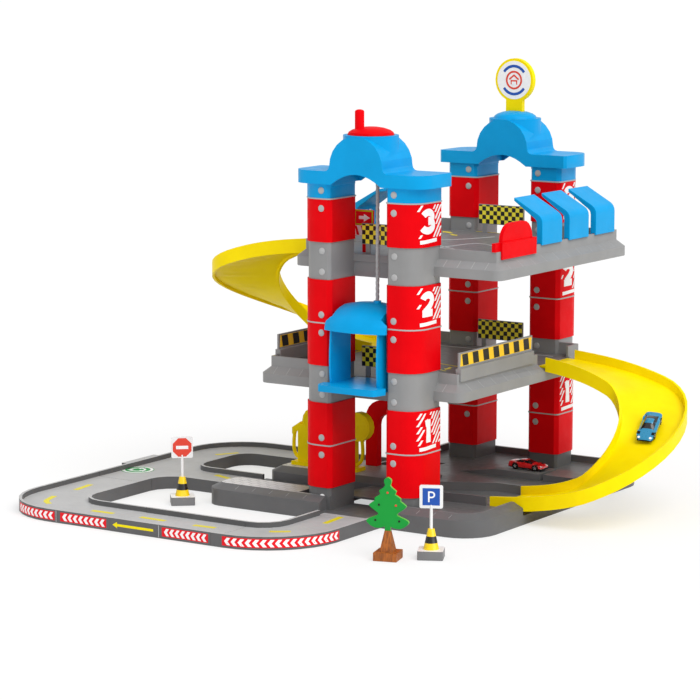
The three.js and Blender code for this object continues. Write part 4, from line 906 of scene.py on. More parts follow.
    def hatch(self, wall: UprightWall, numeral: np.ndarray) -> list[Shape]:
        """White bars that rise to the right, cut at the label's edges and near the numeral.

        Args:
            wall: the label's surface.
            numeral: points along the numeral's pen strokes.
        Returns:
            The bars.
        """
        bottom, slope, bar = self.hatch_low, self.hatch_slope, self.hatch_bar
        margin = self.hatch_margin
        width = self.label_width - 2 * margin
        room = self.pen / 2 + bar / 2 + self.hatch_room
        bars = []
        for foot in np.arange(self.hatch_first, width, self.hatch_pitch):
            t = np.arange(max(bottom, bottom + (margin - foot) / slope),
                          min(self.label_height, bottom + (width - foot) / slope), 1.0)
            s = foot + (t - bottom) * slope
            away = np.hypot(s[:, None] + bar / 2 - numeral[:, 0], t[:, None] - numeral[:, 1])
            clear = away.min(axis=1, initial=99) > room
            cuts = np.flatnonzero(np.diff(np.concatenate([[0], clear, [0]])))
            for start, end in cuts.reshape(-1, 2):
                if end - start >= self.shortest_bar:
                    left = np.stack([s[start:end], t[start:end]], 1)
                    bars.append(strip(wall, left, left + [bar, 0], *FILM))
        return bars

    def numeral(self, number: int) -> list[np.ndarray]:
        """The middle lines of a bold numeral's pen strokes.

        Args:
            number: 1, 2 or 3.
        Returns:
            One path for each stroke, along and up the label.
        """
        x, (foot, top) = self.numeral_x, self.numeral_z
        if number == 1:
            return [straight((x + 3, foot - 2), (x + 3, top), 30),
                    straight((x - 5, top - 6.0), (x + 3, top - 4.0), 12),
                    straight((x - 3, foot - 2), (x + 9, foot - 2), 14)]
        if number == 2:
            bowl = arc((x, top - 8), (11.5, 8.0), 166, -34, 30)
            return [np.concatenate([bowl, straight((x + 5, foot + 10), (x - 8, foot + 2), 10)]),
                    straight((x - 12.5, foot), (x + 13, foot), 24)]
        return [arc((x, top - 7), (11.5, 7.0), 158, -88, 26),
                arc((x, foot + 7.6), (13.5, 7.6), 88, -160, 28)]


class Side(Enum):
    """Which side of the garage a deck reaches further out on."""

    LEFT = -1
    RIGHT = 1


@dataclass
class Deck:
    """One parking deck: floor, shoulders with tick lines, lane marks and ridges."""

    node: str
    floor: float
    long_side: Side
    lines: tuple[Path, ...]
    arrows: tuple[tuple[float, float, float, float], ...]
    ridges: tuple[Path, ...]
    long_reach: float = 216.0
    short_reach: float = 150.0
    depth: float = 200.0
    skirt_top: float = 7.6
    shoulder_rise: float = 10.0
    shoulder_inset: float = 13.0
    side_ticks: Triple = (34.0, -20.0, 36.0)
    end_ticks: Triple = (118.0, -18.0, 24.0)
    tick_half: float = 0.4
    tick_gap: float = 0.6
    line_width: float = 3.0
    ridge_width: float = 2.2

    def build(self) -> None:
        """Builds the deck and what is marked on it."""
        inside = (DECK_FLOOR,
                  lambda c, n: (n[:, 2] > 0.95) & (np.abs(c[:, 2] - self.floor) < 1.5))
        dressed(self.node, GRAY, bevel=0.9, rules=(inside,))
        self.ticks()
        self.marks()

    def ticks(self) -> None:
        """Thin pale lines up the sloped shoulders, one every pitch, on the sides and the ends."""
        rise, inset = self.shoulder_rise, self.shoulder_inset
        half, gap = self.tick_half, self.tick_gap
        low = self.floor - self.skirt_top
        tick = rectangle(-half, gap, half, math.hypot(rise, inset) - gap)
        first, last, pitch = self.side_ticks
        end_first, end_last, end_pitch = self.end_ticks
        spots = []
        for sign in (1, -1):
            reach = self.long_reach if self.long_side.value == sign else self.short_reach
            spots += [FlatSpot((sign * reach, y, low), (0, sign, 0), (-sign * inset, 0, rise))
                      for y in np.arange(first - self.depth, self.depth + last, pitch)]
            spots += [FlatSpot((sign * x, face * self.depth, low), (-face, 0, 0),
                               (0, -face * inset, rise))
                      for face in (-1, 1)
                      for x in np.arange(end_first, reach + end_last, end_pitch)]
        finished(f"{self.node}_shoulder_ticks", [plate(spot, tick, -0.2, 0.18) for spot in spots],
                 [SHOULDER_TICK])

    def marks(self) -> None:
        """Yellow lane lines and arrows, and pale ridges, on the floor."""
        ground = level(self.floor)
        shapes = [stroke(ground, smooth_path(line, 14), self.line_width, *MARK).painted(0)
                  for line in self.lines]
        shapes += [plate(ground, rotated(arrow_outline(size, size * 0.2, size * 0.5), turn, x, y),
                         *MARK).painted(0) for x, y, turn, size in self.arrows]
        shapes += [stroke(ground, smooth_path(ridge, 18), self.ridge_width, -0.1, 0.6).painted(1)
                   for ridge in self.ridges]
        finished(f"{self.node}_marks", shapes, [PRINT_YELLOW, PALE])


@dataclass
class Ground:
    """The base tray and the ring road with its dashes, emblem, seams and side stickers."""

    rim_top: float = 34.0
    road_top: float = 12.0
    front: float = -505.0
    left: float = -515.0
    turn: float = 120.0
    turn_left: float = -395.0
    turn_right: float = -68.0
    turn_y: float = -385.0
    wall_start: float = -260.0
    wall_end: float = -300.0
    sticker: Pair = (3.4, 17.0)
    first_chevron: float = 4.0
    chevron_margin: float = 6.0
    chevron_run: float = 0.42
    chevron_thick: float = 0.52
    chevron_rise: float = 0.4
    stickers: tuple[tuple[str, float, float, int], ...] = (
        ("left_corner", -478, -381, 9), ("front_1", -370, -282, 8), ("front_2", -178, -94, 8),
        ("right_corner", -69, 126, 17))
    arrow_x: float = -232.0
    wall_joints: tuple[float, ...] = (-184.0, -378.0)
    emblem: Pair = (-491.0, -156.0)
    emblem_radius: float = 27.0
    dash_width: float = 9.0
    dashes: tuple[Path, ...] = (
        ((-352.7, -450), (-312, -448.6)), ((-262, -447), (-215, -448)),
        ((-161, -449), (-123, -447)), ((-42, -423), (-30, -417), (-16, -406)),
        ((-5, -332), (-10, -280)), ((-473, -340), (-479, -294)), ((-359, -121), (-324, -133)),
        ((-440, -446), (-458, -430), (-470, -396)), ((-462, 20), (-440, 55)),
        ((-330, 78), (-285, 80)), ((-230, 80), (-190, 80)))
    joints: tuple[Path, ...] = (
        ((-300, -499), (-300, -417)), ((-206, -499), (-190, -417)), ((-112, -499), (-117, -417)),
        ((-518, -366), (-411, -340)), ((-42, -359), (46, -395)))
    rim_tick_x: tuple[float, ...] = (-219, -187, -155, -124, -92, 112, 140, 168)
    rim_tick_foot: Pair = (-268.0, 26.0)
    rim_slope: Pair = (16.0, 8.0)
    rim_tick: Path = ((0.2, 5.0), (1.0, 5.0), (2.6, 13.5), (1.8, 13.5))

    def build(self) -> None:
        """Builds the tray, the road and their marks."""
        paved = (PAVING, lambda c, n: (n[:, 2] > 0.9) & (np.abs(c[:, 2] - self.rim_top) < 1))
        dressed("base_tray", DARK_GRAY, bevel=0.8, rules=(paved,))
        # Upward faces of the road take the painted-light top colour and all other faces the
        # painted-shade wall colour, both for one plastic lit from above.
        top = (PAINTED_LIGHT_ROAD_TOP, lambda c, n: n[:, 2] > 0.9)
        for part in ("front_right", "front_middle", "front_left", "back_left"):
            dressed(f"road_{part}", PAINTED_SHADE_ROAD_WALL, bevel=0.7, rules=(top,))
        self.lane_marks()
        self.road_emblem()
        self.side_stickers()
        self.rim_ticks()

    def lane_marks(self) -> None:
        """Yellow dashes on the road, and pale joint lines across it."""
        ground = level(self.road_top)
        dashes = [stroke(ground, smooth_path(line, 12), self.dash_width, *MARK)
                  for line in self.dashes]
        finished("road_dashes", dashes, [PRINT_DASH])
        joints = [stroke(ground, straight(*ends, 4), 0.8, -0.1, 0.12) for ends in self.joints]
        finished("road_joint_lines", joints, [PALE])

    def road_emblem(self) -> None:
        """A round green mark with a white ring and three turning arrows: a generic device."""
        ground = level(self.road_top, *self.emblem)
        r = self.emblem_radius
        discs = ((1.0, -0.1, 0.18, 0), (0.95, 0.0, 0.26, 1), (0.77, 0.0, 0.34, 0))
        shapes = [turned(ground, [(r * share, low), (r * share, high)], 48).painted(kind)
                  for share, low, high, kind in discs]
        path = ring(r * 0.44, 10, 96, 14)
        tip = rotated(np.array([(-1, -5.4), (7.6, 0), (-1, 5.4)]) * (r / 25), 188, *path[-1])
        for turn in (0, 120, 240):
            shapes.append(stroke(ground, rotated(path, turn), r * 0.15, *OVERPRINT).painted(1))
            shapes.append(plate(ground, rotated(tip, turn), 0.0, 0.46).painted(1))
        finished("road_emblem", shapes, [PRINT_GREEN, PRINT_WHITE])

    def side_stickers(self) -> None:
        """Chevron stickers, one yellow arrow and joint lines on the road's outer wall.

        The wall runs in plan from the left side round the front to the right side.
        """
        left = arc((self.turn_left, self.turn_y), (self.turn, self.turn), 180, 270, 25)
        right = arc((self.turn_right, self.turn_y), (self.turn, self.turn), 270, 360, 25)
        wall = UprightWall(np.concatenate([[(self.left, self.wall_start)], left, right,
                                           [(self.turn_right + self.turn, self.wall_end)]]))
        bend = self.wall_start - self.turn_y + self.turn * math.pi / 2 - self.turn_left
        for name, start, end, count in self.stickers:
            self.chevrons(wall, name, bend + start, bend + end, count)
        arrow = plate(facing(self.arrow_x, self.front, sum(self.sticker) / 2),
                      rotated(arrow_outline(76.0, 3.8, 9.5), 180), *MARK)
        finished("side_arrow", [arrow], [PRINT_YELLOW])
        joints = [plate(facing(x, self.front, 0), rectangle(-0.4, 1, 0.4, 19), -0.1, 0.15)
                  for x in self.wall_joints]
        finished("wall_joint_lines", joints, [PALE])

    def chevrons(self, wall: UprightWall, name: str, start: float, end: float, count: int) -> None:
        """One red sticker with white chevrons, each of two slanted halves.

        Args:
            wall: the road's outer wall.
            name: where the sticker is.
            start, end: its ends along the wall.
            count: how many chevrons it has.
        """
        low, high = self.sticker
        s = np.linspace(start, end, 60)
        shapes = [strip(wall, np.stack([s, 0 * s + high], 1), np.stack([s, 0 * s + low], 1),
                        -0.1, 0.18).painted(0)]
        step = (end - start - self.chevron_margin) / count
        rise = np.array([0, (high - low) * self.chevron_rise])
        for k in range(count):
            run = start + self.first_chevron + step * k + np.array([0, step * self.chevron_run])
            for sign in (1, -1):
                z = (low + high) / 2 + sign * rise
                edges = [np.stack([at, z], 1) for at in (run, run + step * self.chevron_thick)]
                shapes.append(strip(wall, *edges[::sign], *INK).painted(1))
        finished(f"chevrons_{name}", shapes, [PRINT_RED, PRINT_WHITE])

    def rim_ticks(self) -> None:
        """Short pale ticks down the sloped front edge of the tray's rim."""
        spots = [FlatSpot((x, *self.rim_tick_foot), (1, 0, 0), (0, *self.rim_slope))
                 for x in self.rim_tick_x]
        ticks = [plate(spot, self.rim_tick, -0.2, 0.25) for spot in spots]
        finished("rim_ticks", ticks, [TICK])


@dataclass
class Ramps:
    """The two yellow slides."""

    sides: tuple[str, ...] = ("right", "left")

    def build(self) -> None:
        """Dresses both ramps."""
        for side in self.sides:
            dressed(f"ramp_{side}", YELLOW, bevel=0.8, crease=40.0)


@dataclass
class Arches:
    """The two blue arches and the round sign on the back one."""

    sign: Triple = (0.0, 214.5, 645.0)
    sign_thickness: float = 9.0
    disc_radius: float = 30.8
    ring_radius: float = 13.5
    arc_radius: float = 22.5
    roof: Path = ((-8.5, 1.0), (0.0, 8.0), (8.5, 1.0))
    house: Box = (-6, -7, 6, 0)
    door: Box = (-4, -7.05, 4, -2.4)
    stripe: Pair = (0.2, 0.6)

    def build(self) -> None:
        """Dresses the arches and finishes the sign's faces."""
        for end in ("front", "back"):
            dressed(f"arch_{end}", BLUE, bevel=1.2, crease=38.0)
        dressed("round_sign", YELLOW, bevel=0.8, crease=38.0)
        for turn, name in ((1, "front"), (-1, "back")):
            self.face(turn, name)

    def face(self, turn: int, name: str) -> None:
        """A white disc with a small house in a ring, and a blue arc above and below: generic.

        Args:
            turn: 1 for the face towards -Y, -1 for the other.
            name: what the face is called.
        """
        x, y, z = self.sign
        spot = facing(x, y - turn * self.sign_thickness / 2, z, turn)
        disc, left, ridge, right = self.disc_radius, *self.roof
        roof = np.concatenate([straight(left, ridge, 8), straight(ridge, right, 8)[1:]])
        shapes = [turned(spot, [(disc, -0.2), (disc, 0.3)], 48).painted(0),
                  stroke(spot, ring(self.ring_radius, 0, 360, 49), 3.0, *self.stripe).painted(1)]
        shapes += [stroke(spot, ring(self.arc_radius, start, start + 110, 25), 4.4,
                          0.2, 0.55).painted(2) for start in (35.0, 215.0)]
        shapes += [stroke(spot, roof, 2.6, *self.stripe).painted(1),
                   plate(spot, rectangle(*self.house), *self.stripe).painted(1),
                   plate(spot, rectangle(*self.door), 0.2, 0.75).painted(0)]
        finished(f"round_sign_face_{name}", shapes, [PRINT_WHITE, PRINT_CORAL, PRINT_BLUE])


@dataclass
class Lift:
    """The lift: crank knob, spool, cord and cabin."""

    cord_x: float = 12.0
    cord_y: float = -214.5
    cord_radius: float = 3.0
    cord_low: float = 335.3
    cord_high: float = 560.0
    rows: int = 150
    sides: int = 18
    strands: int = 3
    twist: float = 26.0
    chart_size: Pair = (3.0, 60.0)

    def build(self) -> None:
        """Dresses the moving pieces and makes the cord."""
        dressed("crank_knob", RED, body="crank", bevel=0.8, crease=40)
        dressed("winding_spool", WHITE, body="crank", bevel=0.5, crease=40)
        dressed("lift_cabin", BLUE, body="lift", bevel=0.9, crease=40)
        self.cord()

    def cord(self) -> None:
        """The taut cord: rings of a three-strand section, each turned further than the last."""
        z = np.linspace(self.cord_low, self.cord_high, self.rows)[:, None]
        angle = np.linspace(0, 2 * np.pi, self.sides, endpoint=False)[None, :]
        wound = np.cos(self.strands * (angle - z * 2 * np.pi / self.twist))
        radius = self.cord_radius * (0.9 + 0.1 * wound)
        rings = np.stack([self.cord_x + radius * np.cos(angle),
                          self.cord_y + radius * np.sin(angle), z + 0 * angle], axis=-1)
        piece = finished("lift_cord_strands", [lofted(rings)], [CORD], body=None,
                         crease=60)
        mesh = piece.data
        chart = mesh.uv_layers.new(name=CORD.chart)
        corner = np.zeros(len(mesh.loops), np.int32)
        mesh.loops.foreach_get("vertex_index", corner)
        around, along = (corner % self.sides) / self.sides, (corner // self.sides) / self.rows
        uv = np.stack([around, along], axis=1) * self.chart_size
        chart.data.foreach_set("uv", uv.astype(np.float32).ravel())
        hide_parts("lift_cord")
        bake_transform(piece)


@dataclass
class Fittings:
    """What stands on the decks: panels, boards, canopies, booth and arrow sign."""

    floors: tuple[tuple[int, float], ...] = ((2, 211.0), (3, 399.0))
    board_faces: tuple[tuple[str, float, float], ...] = (
        ("front", -175.0, -172.0), ("back", 172.0, 175.0))
    board_x: float = 42.0
    board_z: Pair = (14.5, 46.5)
    board_frame: float = 1.0
    square: float = 6.9
    checker_yellow: Colour = (255, 236, 60)
    panels: tuple[tuple[str, float, float], ...] = (("right", -182.0, 38.0), ("left", -171.0, 24.0))
    panel_z: Pair = (237.4, 261.4)
    stripe_lean: float = -1.6
    stripe_half: float = 8.3
    stripe_pitch: float = 30.5
    disc: Pair = (-22.0, 447.0)
    disc_radius: float = 11.5
    sign_x: float = -48.0
    sign_faces: tuple[tuple[float, int], ...] = ((-160.0, 1), (-157.0, -1))
    sign_z: float = 424.0
    sign_border: Box = (-16.6, 16.5, 16.6, 39.6)
    sign_field: Box = (-14.4, 18.7, 14.4, 37.4)
    sign_strip: Box = (-16.6, 0.4, 16.6, 15.8)
    strip_bars: Triple = (-14.0, -3.0, 8.0)

    def build(self) -> None:
        """Builds all of them."""
        for number, floor in self.floors:
            for end, near, far in self.board_faces:
                self.board(end, number, floor, near, far)
        for panel in self.panels:
            self.panel(*panel)
        dressed("ticket_booth", RED, bevel=0.8, crease=40)
        for node in ("canopy_1", "canopy_2", "canopy_3", "canopy_left"):
            dressed(node, BLUE, bevel=0.8, crease=40)
        self.canopy_disc()
        self.arrow_sign()

    def board(self, end: str, number: int, floor: float, near: float, far: float) -> None:
        """One checkered board: gray frame and posts, with a checkered sheet on each face.

        Args:
            end: front or back.
            number: the level.
            floor: the deck's floor height.
            near, far: the board's two faces.
        """
        node = f"checker_board_{end}_{number}"
        dressed(node, GRAY, bevel=0.4)
        frame_width = self.board_frame
        x, low = self.board_x - frame_width, floor + self.board_z[0] + frame_width
        high = floor + self.board_z[1] - frame_width
        checkers = CheckerPrint(f"checker_{end}_{number}", self.checker_yellow,
                                square=self.square * MM, corner=(-self.board_x * MM, low * MM))
        sheets = [plate(facing(0, y, 0, turn), rectangle(-x, low, x, high), *SHEET)
                  for y, turn in ((near, 1), (far, -1))]
        finished(f"{node}_sheet", sheets, [checkers])

    def panel(self, side: str, start: float, stop: float) -> None:
        """One long striped panel: gray frame, amber sheet and black slanted bars on both faces.

        Args:
            side: right or left.
            start, stop: its two ends in y.
        """
        node = f"striped_panel_{side}"
        dressed(node, GRAY, bevel=0.5)
        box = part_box(node)
        LOG.info("%s stands from %s", node, [round(float(v), 4) for v in box[0]])
        points = node_points(node)
        upper = points[points[:, 2] > points[:, 2].max() - 2.0, 0]
        low, high = self.panel_z
        half, tall, wide = (stop - start) / 2, high - low, self.stripe_half
        sheet = [(-half + 3, 3.0), (half - 5, 3.0), (half - 3, tall - 2.4), (-half + 5, tall - 2.4)]
        shapes = []
        for x, along in ((upper.max(), 1), (upper.min(), -1)):
            spot = FlatSpot((float(x), (start + stop) / 2, low), (0, along, 0), (0, 0, 1))
            shapes.append(plate(spot, sheet, *SHEET).painted(0))
            tilt = self.stripe_lean * along
            for middle in np.arange(-half + 17.6, half - 12, self.stripe_pitch):
                bar = [(middle - wide - tilt, 3.6), (middle + wide - tilt, 3.6),
                       (middle + wide + tilt, tall - 3), (middle - wide + tilt, tall - 3)]
                shapes.append(plate(spot, bar, 0.0, 0.32).painted(1))
        finished(f"{node}_stripes", shapes, [PRINT_AMBER, PRINT_BLACK])

    def canopy_disc(self) -> None:
        """A small round sticker with a blue ring and a plain arrow on the left canopy's post."""
        points = node_points("canopy_left")
        x = float(points[points[:, 2] < points[:, 2].min() + 30.0, 0].max())
        spot = FlatSpot((x, *self.disc), (0, 1, 0), (0, 0, 1))
        r = self.disc_radius
        shapes = [turned(spot, [(r, SHEET[0]), (r, SHEET[1])], 32).painted(0),
                  stroke(spot, ring(9.6, 0, 360, 33), 1.4, 0.1, 0.34).painted(1),
                  plate(spot, rotated(arrow_outline(11.0, 2.6, 6.2), 90), 0.1, 0.34).painted(1)]
        finished("canopy_disc", shapes, [PRINT_WHITE, PRINT_SKY])

    def arrow_sign(self) -> None:
        """The small sign: lime border, red field with a white arrow, and slanted red bars."""
        dressed("arrow_sign", RED, bevel=0.4)
        shapes = []
        for y, turn in self.sign_faces:
            spot = facing(self.sign_x, y, self.sign_z, turn)
            arrow = rotated(arrow_outline(20.0, 5.0, 12.0), 0, 1, 28)
            shapes += [plate(spot, rectangle(*self.sign_border), *SHEET).painted(0),
                       plate(spot, rectangle(*self.sign_field), *INK).painted(1),
                       plate(spot, arrow, *OVERPRINT).painted(2),
                       plate(spot, rectangle(*self.sign_strip), *SHEET).painted(2)]
            shapes += [plate(spot, [(foot + 1, 1), (foot + 6, 1), (foot + 1, 15.2),
                                    (foot - 2.4, 15.2)], *INK).painted(1)
                       for foot in self.strip_bars]
        finished("arrow_sign_print", shapes, [PRINT_LIME, PRINT_RED, PRINT_WHITE])


@dataclass
class Station:
    """The filling station: two yellow pumps and the red gate."""

    pump_y: float = -60.0
    thickness: float = 14.0
    head_radius: float = 23.5
    rim_radius: float = 19.5
    scale: Pair = (11.5, 15.0)
    scale_angles: range = range(-40, 221, 26)
    hub: Path = ((2.6, -0.1), (2.6, 0.5), (1.6, 0.9))

    def build(self) -> None:
        """Dresses the station and adds the pumps' dials."""
        dressed("station_gate", RED, bevel=0.9, crease=40)
        for side in ("left", "right"):
            dressed(f"fuel_pump_{side}", YELLOW, bevel=0.6, crease=40)
            self.dial(side)

    def dial(self, side: str) -> None:
        """A raised rim, scale marks and a hub on both faces of a pump's round head.

        Args:
            side: left or right.
        """
        high = node_points(f"fuel_pump_{side}").max(axis=0)
        mark = straight((self.scale[0], 0.0), (self.scale[1], 0.0), 3)
        shapes = []
        for turn in (1, -1):
            spot = facing(high[0] - self.head_radius, self.pump_y - turn * self.thickness / 2,
                          high[2] - self.head_radius, turn)
            shapes.append(stroke(spot, ring(self.rim_radius, 0, 360, 41), 1.8, -0.1, 0.5))
            shapes += [stroke(spot, rotated(mark, angle), 1.0, -0.1, 0.4)
                       for angle in self.scale_angles]
            shapes.append(turned(spot, self.hub, 20))
        finished(f"fuel_pump_{side}_dial", shapes, [YELLOW])


@dataclass
class LoosePieces:
    """The two road signs and the tree that stand by themselves."""

    foot_top: float = 13.0
    cone_top: float = 42.6
    plate_low: float = 72.4
    plate_size: float = 33.5
    plate_thickness: float = 3.0
    octagon_share: float = 0.94
    square_share: float = 0.74
    word_bar: Box = (-9.5, -2.6, 9.5, 2.6)
    pen: float = 2.2
    signs: tuple[tuple[str, float, float, float], ...] = (
        ("left", -304.0, -285.0, 40.4), ("right", 220.0, -395.0, 26.4))
    tree: Triple = (173.0, -436.0, 16.6)
    trunk_top: float = 42.0
    tree_half: float = 2.5
    bauble: Path = ((1.7, -0.1), (1.6, 0.4), (1.0, 0.8), (0.3, 0.95))
    baubles: tuple[tuple[float, float, int], ...] = (
        (0.0, 97.0, 0), (-12.7, 79.0, 1), (12.3, 79.0, 0), (-18.0, 56.5, 1), (17.3, 56.5, 1))

    def build(self) -> None:
        """Builds both signs and the tree."""
        for sign in self.signs:
            self.sign(*sign)
        self.tree_pieces()

    def spot(self, x: float, y: float, z: float, turn: float, out: float) -> FlatSpot:
        """An upright place turned about a loose piece's own axis.

        Args:
            x, y, z: the place on the axis.
            turn: how far the piece is turned, in degrees.
            out: how far its face lies in front of the axis.
        Returns:
            The place.
        """
        c, s = math.cos(math.radians(turn)), math.sin(math.radians(turn))
        return FlatSpot((x + out * s, y - out * c, z), (c, s, 0), (0, 0, 1))

    def sign(self, side: str, x: float, y: float, turn: float) -> None:
        """One road sign: gray foot with a white top, banded cone, white pole, plate and print.

        Args:
            side: left for the octagon, right for the square.
            x, y: where it stands.
            turn: how far it is turned, in degrees.
        """
        top, cone = self.foot_top, self.cone_top
        rules = ((CONE, lambda c, n: (c[:, 2] > top + 0.3) & (c[:, 2] < cone + 0.5)),
                 (SIGN_FOOT, lambda c, n: c[:, 2] < top - 0.3))
        dressed(f"road_sign_{side}", WHITE, bevel=0.4, rules=rules, crease=40)
        half = self.plate_size / 2
        spot = self.spot(x, y, self.plate_low + half, turn, self.plate_thickness / 2)
        if side == "left":
            octagon = ring(half * self.octagon_share, 22.5, 337.5, 8)
            shapes = [plate(spot, octagon, *MARK).painted(1),
                      plate(spot, rectangle(*self.word_bar), *OVERPRINT).painted(0)]
            finished("octagon_print", shapes, [PRINT_WHITE, PRINT_CORAL])
            return
        bowl = np.concatenate([straight((-4.4, 6.8), (0.4, 6.8), 5),
                               arc((0.6, 3.0), (3.9, 3.8), 84, -84, 16),
                               straight((0.4, -0.8), (-4.4, -0.8), 5)])
        post = straight((-3.4, -7.6), (-3.4, 7.9), 9)
        shapes = [plate(spot, rectangle(-1, -1, 1, 1) * half * self.square_share, *MARK).painted(0),
                  stroke(spot, post, self.pen, 0.1, 0.42).painted(1),
                  stroke(spot, bowl, self.pen, 0.1, 0.45).painted(1)]
        finished("parking_print", shapes, [PRINT_BLUE, PRINT_WHITE])

    def tree_pieces(self) -> None:
        """The tree: brown foot and grained trunk, green crown with pale edges and baubles."""
        x, y, turn = self.tree
        c, s = math.cos(math.radians(turn)), math.sin(math.radians(turn))
        rules = ((BARK, lambda p, n: p[:, 2] < self.trunk_top + 0.1),
                 (LIME, lambda p, n: (p[:, 2] > self.trunk_top + 0.2)
                  & (np.abs(n[:, 0] * s - n[:, 1] * c) < 0.5)))
        dressed("tree", GREEN, bevel=0.5, rules=rules, crease=40)
        shapes = [turned(self.spot(x + u * c, y + u * s, v, turn, self.tree_half), self.bauble,
                         14).painted(kind) for u, v, kind in self.baubles]
        finished("tree_baubles", shapes, [PRINT_CORAL, PRINT_BLACK])


@dataclass
class Car:
    """One toy car: a lofted body with wheel arches and dark glass, lamps, and hubs."""

    colour: str
    origin: Triple
    axes: tuple[Triple, Triple, Triple]
    paint: Finish
    slot: Slot
    half_length: float = 30.9
    half_width: float = 13.9
    sill: float = 3.0
    wheel: Triple = (18.0, 13.55, 5.2)
    arch_radius: float = 6.3
    steps_along: int = 61
    steps_across: int = 31
    steps_up: int = 4
    end_taper: float = 0.17
    side_bulge: float = 0.05
    nose: Path = (
        (-30.9, 9.6), (-30.0, 12.3), (-26.0, 13.0), (-18.0, 12.4), (-8.0, 11.6), (4.0, 11.2),
        (14.0, 10.4), (23.0, 8.8), (28.5, 7.2), (30.9, 5.6))
    cabin: Path = (
        (-31.0, 0.0), (-24.0, 0.1), (-19.0, 1.3), (-13.0, 3.6), (-7.0, 4.9), (-2.0, 5.1),
        (3.0, 4.0), (8.0, 1.9), (13.0, 0.2), (18.0, 0.0), (31.0, 0.0))
    lamp_y: float = 9.0
    head_at: Pair = (27.4, 7.35)
    tail_at: Pair = (-30.8, 9.2)
    head_lamp: Path = ((2.1, -0.5), (2.0, 0.2), (1.4, 0.5), (0.4, 0.6))
    tail_lamp: Path = ((1.5, -0.6), (1.4, -0.1), (0.6, 0.0))
    hub: Path = ((3.3, -0.4), (3.3, 0.1), (2.9, 0.12))

    def build(self) -> None:
        """Builds the body, its lamps and the wheels."""
        self.shell()
        self.lamps()
        for end, way in (("front", 1), ("rear", -1)):
            dressed(f"{self.colour}_car_{end}_axle", BLACK,
                    body=f"{self.colour}_car_{end}_wheels", bevel=0.3, crease=40)
            self.hubs(end, way)

    def place(self, points: np.ndarray) -> np.ndarray:
        """Car coordinates (forward, left, up) to the toy's frame."""
        return np.array(self.origin) + points @ np.array(self.axes)

    def spot(self, x: float, y: float, z: float, along: Triple, up: Triple) -> FlatSpot:
        """A flat place on the car, all of it in car coordinates.

        Args:
            x, y, z: its middle.
            along, up: its two ways.
        Returns:
            The place in the toy's frame.
        """
        ways = np.array([along, up]) @ np.array(self.axes)
        return FlatSpot(tuple(self.place(np.array([x, y, z]))), *map(tuple, ways))

    def shell(self) -> None:
        """The body: cross-sections along the car, flat below, upright at the sides, humped on top.

        Height over the width = waist + cabin x (1 - |y / cabin half width|^2.6), less a rounding
        near the side; the underside rises to an arch of the wheel's radius plus a gap over each
        axle.
        """
        wheel_x, _, wheel_z = self.wheel
        over_wheel = np.linspace(-self.arch_radius, self.arch_radius, 13)
        even = np.linspace(-self.half_length, self.half_length, self.steps_along)
        x = np.unique(np.concatenate([even, -wheel_x + over_wheel, wheel_x + over_wheel]))
        waist = np.interp(x, *np.array(self.nose).T)
        hump = np.interp(x, *np.array(self.cabin).T)
        taper = self.end_taper * np.clip((np.abs(x + 2) - 20) / 11, 0, 1) ** 2
        half = self.half_width * (1 - taper)
        reach = np.minimum(np.abs(x - wheel_x), np.abs(x + wheel_x))
        arch = wheel_z + np.sqrt(np.maximum(self.arch_radius**2 - reach**2, 0))
        under = np.where(reach < self.arch_radius, np.maximum(arch, self.sill), self.sill)
        under = np.minimum(under, waist - 0.6)[:, None]
        whole = np.linspace(-1, 1, self.steps_across)[None, :]
        share = np.abs(whole)
        roof = hump[:, None] * np.maximum(0, 1 - (share / 0.8) ** 2.6)
        crown = np.maximum(waist[:, None] - 2.4 * share**6 + roof - 0.5 * share**2, under + 0.4)
        side_z = np.linspace(0, 1, self.steps_up + 1)[None, :-1]
        wall = under + (crown[:, :1] - under) * side_z
        tuck = self.side_bulge * (1 - 2 * side_z) ** 2 * (side_z < 0.5)
        bulge = half[:, None] * (1 - tuck)
        across = np.concatenate([-bulge, half[:, None] * whole, bulge[:, ::-1]], axis=1)
        height = np.concatenate([wall, crown, wall[:, ::-1]], axis=1)
        shape = lofted(np.stack([x[:, None] + 0 * across, across, height], axis=-1))
        middle = np.array([shape.points[f].mean(axis=0) for f in shape.faces])
        sizes = (np.interp(middle[:, 0], x, size) for size in (waist, hump, half))
        shape.kinds = self.face_kinds(middle, *sizes)
        shape.points = self.place(shape.points)
        piece = finished(f"{self.colour}_car_shell", [shape], [self.paint, GLASS, BLACK],
                         body=f"{self.colour}_car", crease=44)
        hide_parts(f"{self.colour}_car_body")

    def face_kinds(self, middle: np.ndarray, waist: np.ndarray, hump: np.ndarray,
                   half: np.ndarray) -> np.ndarray:
        """Which faces of the body are painted (0), glass (1) and black (2).

        Args:
            middle: the faces' middles in car coordinates.
            waist, hump, half: the waist's height, the cabin's and the half width at each.
        Returns:
            One number for each face.
        """
        x, y, z = middle.T
        risen = (z - waist + 0.5) / np.maximum(hump, 0.3)
        side = np.abs(y) / half
        glass = (hump > 0.9) & (side < 0.8) & (risen > 0.12) & (risen < 0.8)
        glass |= (x > 1.0) & (x < 10.5) & (side < 0.62) & (hump > 0.5)
        glass |= (x < -10.5) & (x > -19.0) & (side < 0.5) & (hump > 0.9)
        glass &= ~((np.abs(x + 3.5) < 0.7) & (side > 0.62))
        black = (z < self.sill + 1.6) | ((x > 28.6) & (z < 5.0))
        return np.where(glass, 1, np.where(black, 2, 0))

